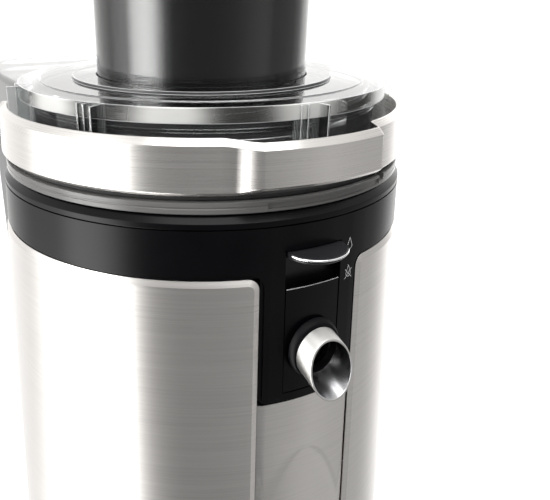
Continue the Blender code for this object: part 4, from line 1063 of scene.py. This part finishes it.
# ---------------------------------------------------------------- bowl, basket and seal
def bowl_outer(angle):
    """Outer face of the bowl's rim: two beads, with a wide groove across the front and a latch notch."""
    angle = (angle + 180.0) % 360.0 - 180.0
    wide = BOWL_GROOVE_ARC[0] < angle < BOWL_GROOVE_ARC[1]
    notch = BOWL_NOTCH_ARC[0] < angle < BOWL_NOTCH_ARC[1]
    low, high, rim = BOWL_RIM_FOOT_Z, BOWL_TOP_Z, BOWL_RIM_RADIUS
    depth = 0.0008 if wide else 0.00022
    upper, lower = (high - 0.0013, low + 0.0012) if wide else (high - 0.0019, high - 0.0023)
    top = rim - (BOWL_NOTCH_DEPTH if notch else 0.0)
    middle = rim - (BOWL_NOTCH_DEPTH if notch else depth)
    return [
        (top - 0.0005, high), (top - 0.00012, high - 0.0002), (top, high - 0.0006),
        (top, upper + 0.0002), (middle, upper), (middle, lower),
        (rim, lower - 0.0002), (rim, low + 0.0003), (rim - 0.0003, low),
    ]


def juice_bowl():
    inner = BOWL_RADIUS - BOWL_WALL
    floor, bevel = BOWL_FOOT_Z + BOWL_WALL, 0.0060
    chimney, chimney_top = 0.0160, 0.2060
    spigot_radius, spigot_bore = 0.0088, 0.0070
    below = [
        (BOWL_RADIUS + 0.0006, BOWL_RIM_FOOT_Z), (BOWL_RADIUS, BOWL_RIM_FOOT_Z - 0.0006),
        (BOWL_RADIUS, BOWL_FOOT_Z + bevel), (BOWL_RADIUS - 0.0012, BOWL_FOOT_Z + 0.0026),
        (BOWL_RADIUS - 0.0030, BOWL_FOOT_Z + 0.0010), (BOWL_RADIUS - bevel, BOWL_FOOT_Z),
        (chimney, BOWL_FOOT_Z), (chimney, chimney_top),
        (chimney + BOWL_WALL, chimney_top), (chimney + BOWL_WALL, floor),
        (inner - 0.0050, floor), (inner - 0.0022, floor + 0.0009), (inner - 0.0008, floor + 0.0024),
        (inner, floor + 0.0050), (inner, BOWL_TOP_Z - 0.0004), (inner + 0.0004, BOWL_TOP_Z),
    ]
    step = 0.02
    steps = [edge + side for edge in BOWL_GROOVE_ARC + BOWL_NOTCH_ARC for side in (-step, step)]
    angles = sorted(span(-180.0, 180.0, 160)[:-1] + steps)
    loops = [[polar(angle, r, z) for r, z in bowl_outer(angle) + below] for angle in angles]
    front = SLIDER_FRONT - 0.0026
    spigot = spout_bar(spigot_radius, 0.0745, front)
    bore = spout_bar(spigot_bore, 0.0690, front + 0.004)
    piece("juice_bowl", skinned(loops, closed=True), SMOKE, "base", ["juice_bowl"],
          steps=[("UNION", spigot), ("DIFFERENCE", bore)])


def bowl_gasket():
    low, high = foot_of("bowl_gasket"), top_of("bowl_gasket")
    outer = half_width("bowl_gasket")
    outline = ((outer, high), (outer, low), (GASKET_INNER, low), (GASKET_INNER, high))
    corners = [(radius, z, 0.0005) for radius, z in outline]
    piece("bowl_gasket", turned(corners), RUBBER, "base", ["bowl_gasket"])


def filter_basket():
    low, high = foot_of("filter_mesh"), top_of("filter_mesh")
    foot, top = half_width("grater_disc") + GAP, half_width("filter_mesh")
    corners = [(top, high, 0.0), (foot + 0.0010, low, 0.0), (foot, low, 0.0), (top - 0.0010, high, 0.0)]
    piece("filter_mesh", turned(corners), MESH_SHEET, "spindle", ["filter_mesh"])
    low, high, outer = foot_of("basket_rim"), top_of("basket_rim"), half_width("basket_rim")
    corners = [
        (outer, high, 0.0008), (outer, low, 0.0005), (outer - 0.0012, low - 0.0004, 0.0),
        (top - 0.0016, low, 0.0003), (top - 0.0016, high, 0.0006),
    ]
    piece("basket_rim", turned(corners), POLISHED, "spindle", ["basket_rim"])
    teeth = []
    seat = top_of("grater_disc")
    arms, per_arm = 9, 9
    for arm in range(arms):
        for step in range(per_arm):
            angle = arm * 360.0 / arms + step * 5.5
            radius = 0.0100 + step * 0.0042
            centre = polar(angle, radius, seat)
            out = (centre - polar(angle, 0.0, seat)).normalized()
            along = UP.cross(out)
            base = [centre - along * 0.0009 - out * 0.0007, centre - along * 0.0009 + out * 0.0007,
                    centre + along * 0.0012]
            tip = centre + along * 0.0010 + Vector((0, 0, 0.0011))
            teeth.append((base + [tip], [(0, 2, 1), (0, 1, 3), (1, 2, 3), (2, 0, 3)], [False] * 4))
    piece("grater_teeth", joined(teeth), POLISHED, "spindle", sharp=20.0)


# ---------------------------------------------------------------- lid, chute and lock ring
def container_outline(grow, corner_steps=10, arc_steps=28):
    """D-shaped plan of the pulp container, hollowed to the body and grown by a distance."""
    half, inner = CONTAINER_HALF_WIDTH + grow, CONTAINER_INNER_RADIUS - grow
    back, corner = CONTAINER_REACH + grow, CONTAINER_CORNER + grow
    points = []
    for side, start in ((1, 0.0), (-1, 90.0)):
        for turn in radians_over(start, start + 90.0, corner_steps):
            x = side * (half - corner) + corner * math.cos(turn)
            points.append((x, AXIS_Y + back - corner + corner * math.sin(turn)))
    spread = math.degrees(math.asin(half / inner))
    for turn in radians_over(90.0 + spread, 90.0 - spread, arc_steps):
        points.append((inner * math.cos(turn), AXIS_Y + inner * math.sin(turn)))
    return points


def plan_shape(levels):
    """Stack of (plan, height) levels."""
    return skinned([[(x, y, z) for x, y in plan] for plan, z in levels])


def duct_plan(half, reach):
    spread = math.degrees(math.asin(half / reach))
    arc = radians_over(90.0 - spread, 90.0 + spread, 24)
    door = AXIS_Y + HOOD_DOOR_REACH
    points = [(reach * math.cos(t), AXIS_Y + reach * math.sin(t)) for t in arc]
    return [(half, door)] + points + [(-half, door)]


def lid():
    wall, bore = LID_WALL, CHUTE_RADIUS + GAP
    skirt_inner = SKIRT_RADIUS - wall
    top, flange = LID_TOP_Z, FLANGE_FOOT_Z
    bead, bead_z = 0.0005, FLANGE_FOOT_Z - 0.0028
    corners = [
        (bore, top, 0.0003), (bore, top - wall, 0.0002), (skirt_inner, top - wall, 0.0015),
        (skirt_inner, LID_FOOT_Z, 0.0003), (SKIRT_RADIUS, LID_FOOT_Z, 0.0003),
        (SKIRT_RADIUS, bead_z - 0.0014, 0.0), (SKIRT_RADIUS + bead, bead_z - 0.0011, 0.00012),
        (SKIRT_RADIUS, bead_z - 0.0007, 0.0), (SKIRT_RADIUS, bead_z - 0.0002, 0.0),
        (SKIRT_RADIUS + bead, bead_z + 0.0001, 0.00012), (SKIRT_RADIUS, bead_z + 0.0005, 0.0),
        (SKIRT_RADIUS, flange, 0.0005), (FLANGE_RADIUS, flange, 0.0005),
        (FLANGE_RADIUS, top - 0.0015, 0.0005), (TIER_RADIUS + 0.0004, top - 0.0013, 0.0002),
        (TIER_RADIUS, top - 0.0009, 0.0002), (DISC_RADIUS + 0.0004, top - 0.0011, 0.0002),
        (DISC_RADIUS, top, 0.0003),
    ]
    half = CONTAINER_HALF_WIDTH + HOOD_MARGIN
    margin, ceiling, reach = HOOD_MARGIN, HOOD_TOP_Z - wall, CONTAINER_INNER_RADIUS
    soft = [(0.0, 0.0030), (0.0003, 0.0018), (0.0009, 0.0009), (0.0018, 0.0003), (0.0030, 0.0)]
    crown = [(container_outline(margin - inset), HOOD_TOP_Z - drop) for inset, drop in soft]
    duct_crown = [(duct_plan(half - inset, reach), HOOD_TOP_Z - drop) for inset, drop in soft]
    floor = HOOD_FLOOR_Z - wall
    hood_room, duct_room = container_outline(margin - wall), duct_plan(half - wall, reach + 0.01)
    steps = [
        ("UNION", plan_shape([(container_outline(margin), HOOD_FOOT_Z)] + crown)),
        ("UNION", plan_shape([(duct_plan(half, reach), floor)] + duct_crown)),
        ("DIFFERENCE", plan_shape([(hood_room, HOOD_FOOT_Z - 0.01), (hood_room, ceiling)])),
        ("DIFFERENCE", plan_shape([(duct_room, HOOD_FLOOR_Z), (duct_room, ceiling)])),
        ("DIFFERENCE", turned([(0.0, top - wall - GAP, 0.0), (skirt_inner, top - wall - GAP, 0.0),
                               (skirt_inner, LID_FOOT_Z - 0.01, 0.0), (0.0, LID_FOOT_Z - 0.01, 0.0)])),
    ]
    piece("lid", turned(corners, 192), CLEAR, "lid", ["lid"], steps=steps,
          # Painted highlight on the rounded edges, painted shade on the faces that look in or down.
          painted_light_look=CLEAR_EDGE_HIGHLIGHT, painted_shade_look=CLEAR_INNER_SHADE,
          # Painted light and shade in waves on the flange wall; painted shade on the skirt and on the disc's
          # step.
          bands=[(CLEAR_BAND_PAINTED_LIGHT, FLANGE_RADIUS, flange + 0.0004, top - 0.0014),
                 (SKIRT_SHADE, SKIRT_RADIUS, LID_FOOT_Z, flange),
                 (SKIRT_SHADE, DISC_RADIUS + 0.0002, top - 0.0012, top - 0.0001)])


def radial_wall(angle, inner, outer, low, high, thickness):
    """Thin upright plate that stands out from the axis."""
    along = polar(angle, 1.0, 0.0) - polar(angle, 0.0, 0.0)
    side = UP.cross(along) * thickness / 2
    corners = []
    for radius, sign in ((inner, -1), (outer, -1), (outer, 1), (inner, 1)):
        corners.append(polar(angle, radius, 0.0) + side * sign)
    return skinned([[Vector((p.x, p.y, z)) for p in corners] for z in (low, high)])


def lid_ribs():
    """Guides moulded round the lid's skirt: a pair of fins and a stop, with a shelf between them."""
    shapes = []
    low, high = RING_FOOT_Z + 0.0060, LID_TOP_Z - 0.0020
    root, thickness = SKIRT_RADIUS + 0.0002, 0.0007
    fin_reach, stop_reach, shelf_reach = FLANGE_RADIUS + 0.0010, 0.0856, 0.0850
    for centre in (0.6, -58.0, 58.0, -100.0, 100.0):
        for turn, reach in ((-3.0, fin_reach), (-0.9, fin_reach), (3.2, stop_reach)):
            shapes.append(radial_wall(centre + turn, root, reach, low, high, thickness))
        shelf = []
        for z in (low + 0.0030, low + 0.0037):
            inner = [polar(centre + t, root, z) for t in span(-0.5, 2.8, 6)]
            outer = [polar(centre + t, shelf_reach, z) for t in span(2.8, -0.5, 6)]
            shelf.append(inner + outer)
        shapes.append(skinned(shelf))
    # Painted highlight on the ribs' rounded edges.
    piece("lid_ribs", joined(shapes), CLEAR, "lid", edge=0.00018, painted_light_look=CLEAR_EDGE_HIGHLIGHT)
    mark_z = LID_TOP_Z + GAP / 4
    mark = [polar(angle, reach, mark_z) for angle, reach in ((13.0, 0.0520), (15.6, 0.0520), (14.3, 0.0500))]
    loops = [mark, [point - Vector((0, 0, 0.00025)) for point in mark]]
    piece("lid_arrow", skinned(loops), TEXTURED_BLACK, "lid")


def feed_chute():
    inner, lip = CHUTE_RADIUS - CHUTE_WALL, half_width("feed_chute")
    top, low = CHUTE_TOP_Z, CHUTE_FOOT_Z
    corners = [
        (lip, top, 0.0008), (lip, top - 0.0030, 0.0006), (CHUTE_RADIUS, top - 0.0036, 0.0006),
        (CHUTE_RADIUS, low, 0.0004), (inner, low, 0.0004), (inner, top, 0.0010),
    ]
    piece("feed_chute", turned(corners, 144), CHUTE_CLEAR, "lid", ["feed_chute"],
          # Painted highlight on the chute's rounded edges, painted shade on its inner faces.
          painted_light_look=CLEAR_EDGE_HIGHLIGHT, painted_shade_look=CLEAR_INNER_SHADE)


def ring_reach(angle, share):
    """How far the lock ring stands proud at an angle; its slanted ends are wider towards the top."""
    if angle > 0.0:
        end = 17.9 + 1.6 * share
        return smoothstep((end - angle) / (end - RING_HALF_ANGLE))
    end, start = 20.6 + 2.9 * share, RING_HALF_ANGLE - 1.5
    run = min(max((end + angle) / (end - start), 0.0), 1.0)
    return 0.5 * smoothstep(run) + 0.5 * run


def lock_ring():
    ends = [a * s for s in (1, -1) for a in span(15.0, 24.0, 36)]
    angles = sorted(set([round(a, 4) for a in ends + span(-RING_END_ANGLE, RING_END_ANGLE, 110)]))
    loops = []
    for angle in angles:
        low, high = ring_reach(angle, 0.0), ring_reach(angle, 1.0)
        foot, top = RING_FOOT_Z + RING_RISE * low, RING_TOP_Z - RING_DROP * high
        outer_low, outer_high = RING_RADIUS + RING_PROUD * low, RING_RADIUS + RING_PROUD * high
        taper = RING_TAPER * (top - foot)
        end = smoothstep((RING_END_ANGLE - abs(angle)) / 2.0)
        chamfer = RING_CHAMFER * (0.4 + 0.6 * end)
        section = [
            (outer_high - chamfer - taper, top, 0.0004), (outer_high - taper, top - chamfer, 0.0004),
            (outer_low, foot + 0.0014, 0.0005), (outer_low - 0.0014, foot, 0.0004),
            (outer_low - RING_WALL, foot, 0.0003), (outer_high - RING_WALL - taper, top, 0.0004),
        ]
        loops.append([polar(angle, radius, z) for radius, z in rounded(section)[0]])
    piece("lock_ring", skinned(loops), RING_STEEL, "lock_ring", ["lock_ring"], sharp=42.0)


# ---------------------------------------------------------------- pusher and container
def pusher():
    low, top = foot_of("pusher_body"), top_of("pusher_body")
    corners = [
        (0.0, top, 0.0), (PUSHER_RADIUS, top, 0.0006), (PUSHER_RADIUS, low, 0.0018),
        (0.0360, low, 0.0010), (0.0340, low + 0.0012, 0.0006), (0.0, low + 0.0012, 0.0),
    ]
    piece("pusher_body", turned(corners, 144), PUSHER_BLACK, "pusher", ["pusher_body"])
    foot, high, edge = CAP_FOOT_Z, CAP_TOP_Z, CAP_RADIUS
    corners = [
        (0.0, high - 0.0016, 0.0), (0.0300, high - 0.0012, 0.010), (0.0360, high, 0.0020),
        (0.0430, high - 0.0006, 0.0040), (edge, high - 0.0090, 0.0070), (edge, high - 0.0150, 0.0010),
        (edge - 0.0016, high - 0.0160, 0.0006), (edge - 0.0016, high - 0.0200, 0.0006),
        (edge, high - 0.0210, 0.0010), (edge, foot, 0.0020), (0.0, foot, 0.0),
    ]
    piece("pusher_cap", turned(corners, 144, 6), SMOOTH_BLACK, "pusher", ["pusher_cap"])


def pulp_container():
    low, top, wall = CONTAINER_FOOT_Z, CONTAINER_TOP_Z, CONTAINER_WALL
    levels = [(-0.0050, 0.0), (-0.0026, 0.0004), (-0.0010, 0.0014), (-0.0003, 0.0030), (0.0, 0.0050)]
    plans = [(container_outline(grow), low + rise) for grow, rise in levels]
    plans += [(container_outline(grow), top - drop) for grow, drop in (
        (0.0, 0.0100), (0.0003, 0.0060), (0.0014, 0.0056), (0.0016, 0.0050), (0.0016, 0.0006), (0.0012, 0.0),
        (-wall + 0.0006, 0.0), (-wall, 0.0006),
    )]
    plans += [(container_outline(-wall), low + 0.0070), (container_outline(-wall - 0.0030), low + wall)]
    piece("pulp_container", plan_shape(plans), CONTAINER_SMOKE, "pulp_container",
          ["pulp_container"])
    shapes = []
    back = AXIS_Y + CONTAINER_REACH
    for row in range(5):
        z = top - 0.0300 - row * 0.0040
        path = [(x, back + 0.0002, z) for x in span(-0.0240, 0.0240, 16)]
        shapes.append(rod(path, 0.0009, 8))
    piece("container_grip", joined(shapes), CONTAINER_SMOKE, "pulp_container")


# ---------------------------------------------------------------- finishes of the frame's own pieces
def finish_frame_pieces():
    """Dress the frame's plain pieces, most of them inside the machine."""
    groups = [
        (TEXTURED_BLACK, ["base_plate", "motor_housing", "motor_deck", "cooling_fan", "speed_switch",
                          "interlock_switch"]),
        (SMOOTH_BLACK, ["container_shelf", "drip_stop_slider", "drive_coupling", "basket_hub"]),
        (POLISHED, ["motor_shaft", "upper_bearing", "lower_bearing", "grater_disc"]),
        (RUBBER, ["cord_gland"] + ["foot_%d" % number for number in (1, 2, 3, 4)]),
        (ZINC, ["motor_bracket", "knob_shaft"]
         + ["%s_screw_%d" % (kind, number) for kind in ("base", "motor") for number in (1, 2, 3, 4)]),
        (CARBON, ["carbon_brush_1", "carbon_brush_2"]),
        (COPPER, ["motor_rotor", "commutator"]), (IRON, ["motor_stator"]), (BOARD, ["control_board"]),
    ]
    for look, nodes in groups:
        for node in nodes:
            for material_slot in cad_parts[node].material_slots:
                material_slot.material = look


# ---------------------------------------------------------------- studio
def make_camera():
    data = bpy.data.cameras.new("camera")
    data.lens = CAMERA_LENS
    data.sensor_width = CAMERA_FILM
    data.shift_x = CAMERA_SHIFT
    made = bpy.data.objects.new("camera", data)
    bpy.context.scene.collection.objects.link(made)
    turn = math.radians(CAMERA_TURN)
    made.location = polar(CAMERA_TURN, CAMERA_REACH, COLLAR_Z + CAMERA_RISE)
    made.rotation_euler = (math.radians(90.0 - CAMERA_PITCH), 0.0, turn)
    bpy.context.scene.camera = made


def studio_walls():
    """Surround of white cards with a dark gap in front; the backdrop itself is plain white."""
    owner = bpy.data.worlds.new("studio")
    bpy.context.scene.world = owner
    room = Finish("studio", owner)
    ray = room.node("ShaderNodeTexCoord", output="Generated")
    axes = room.axes(ray)
    north = math.radians(CAMERA_TURN)
    toward = axes * math.sin(north) - axes.part("Y") * math.cos(north)
    aside = axes * math.cos(north) + axes.part("Y") * math.sin(north)
    turn = aside.sum("ARCTAN2", aside, toward) / math.tau + 0.5
    cards = [
        (-180, 1.70), (-140, 1.35), (-110, 1.1), (-84, 3.0), (-74, 8.6),
        (-58, 9.4), (-50, 7.0), (-43, 2.9), (-37, 0.8),
        (-29, 0.34), (-12, 0.25), (14, 0.25), (34, 0.32), (54, 0.50), (66, 0.60), (84, 0.54), (100, 0.52),
        (112, 0.52), (124, 0.80), (135, 1.60), (155, 1.90), (180, 1.70),
    ]
    strongest = 10.0
    stops = [(0.5 + angle / 360.0, level / strongest) for angle, level in cards]
    around = room.node("ShaderNodeValToRGB", {"stops": stops}, {0: turn}) * strongest
    height = axes.part("Z")
    ceiling = height.between(0.30, 0.78)
    level = around * (1.0 - ceiling) + ceiling * 1.15
    camera_ray = room.node("ShaderNodeLightPath", output="Is Camera Ray")
    strength = level * (1.0 - camera_ray) + camera_ray
    shader = room.node("ShaderNodeBackground", {}, {"Color": (1.0, 0.995, 0.985, 1.0), "Strength": strength})
    room.close(shader, "ShaderNodeOutputWorld")
    bpy.context.scene.view_settings.view_transform = "Standard"


def floor_finish():
    floor = Finish("pale_floor")
    spot = floor.node("ShaderNodeTexCoord", output="Object")
    cloud = floor.noise(spot, 3.0)
    tone = floor.blend(cloud, (0.78, 0.78, 0.78), (0.82, 0.82, 0.82))
    seen = floor.node("ShaderNodeBsdfDiffuse", {}, {"Color": tone})
    glow = floor.node("ShaderNodeEmission", {}, {"Color": (1, 1, 1, 1), "Strength": 0.62})
    lit = floor.node("ShaderNodeAddShader", {}, {0: seen, 1: glow})
    dim = floor.node("ShaderNodeBsdfDiffuse", {}, {"Color": (0.20, 0.20, 0.20, 1)})
    camera_ray = floor.node("ShaderNodeLightPath", output="Is Camera Ray")
    open_air = floor.node("ShaderNodeBsdfTransparent")
    unseen = floor.mixed(camera_ray.part("Is Glossy Ray"), dim, open_air)
    return floor.close(floor.mixed(camera_ray, unseen, lit))


def make_floor():
    size = 14.0
    mesh = bpy.data.meshes.new("floor")
    corners = [(-size, -size, 0), (size, -size, 0), (size, size, 0), (-size, size, 0)]
    mesh.from_pydata(corners, [], [(0, 1, 2, 3)])
    mesh.materials.append(floor_finish())
    made = bpy.data.objects.new("floor", mesh)
    bpy.context.scene.collection.objects.link(made)


def soft_lamp(name, angle, reach, height, size, power):
    data = bpy.data.lights.new(name, "AREA")
    data.shape, data.size, data.energy = "DISK", size, power
    made = bpy.data.objects.new(name, data)
    bpy.context.scene.collection.objects.link(made)
    made.location = polar(CAMERA_TURN + angle, reach, height)
    aim = Vector((0.0, AXIS_Y, 0.20)) - made.location
    made.rotation_euler = aim.to_track_quat("-Z", "Y").to_euler()


make_camera()
side_panel("left_panel", -1)
side_panel("right_panel", 1)
for make in (
    front_shroud, front_strip, rear_cover, collar, spout, plate_edge_highlight, drip_stop, drop_marks, speed_knob,
    juice_bowl, bowl_gasket, filter_basket, lid, lid_ribs, feed_chute, lock_ring, pusher, pulp_container,
    finish_frame_pieces, studio_walls, make_floor,
):
    make()
soft_lamp("top_softbox", angle=20.0, reach=0.35, height=1.10, size=0.9, power=7.0)
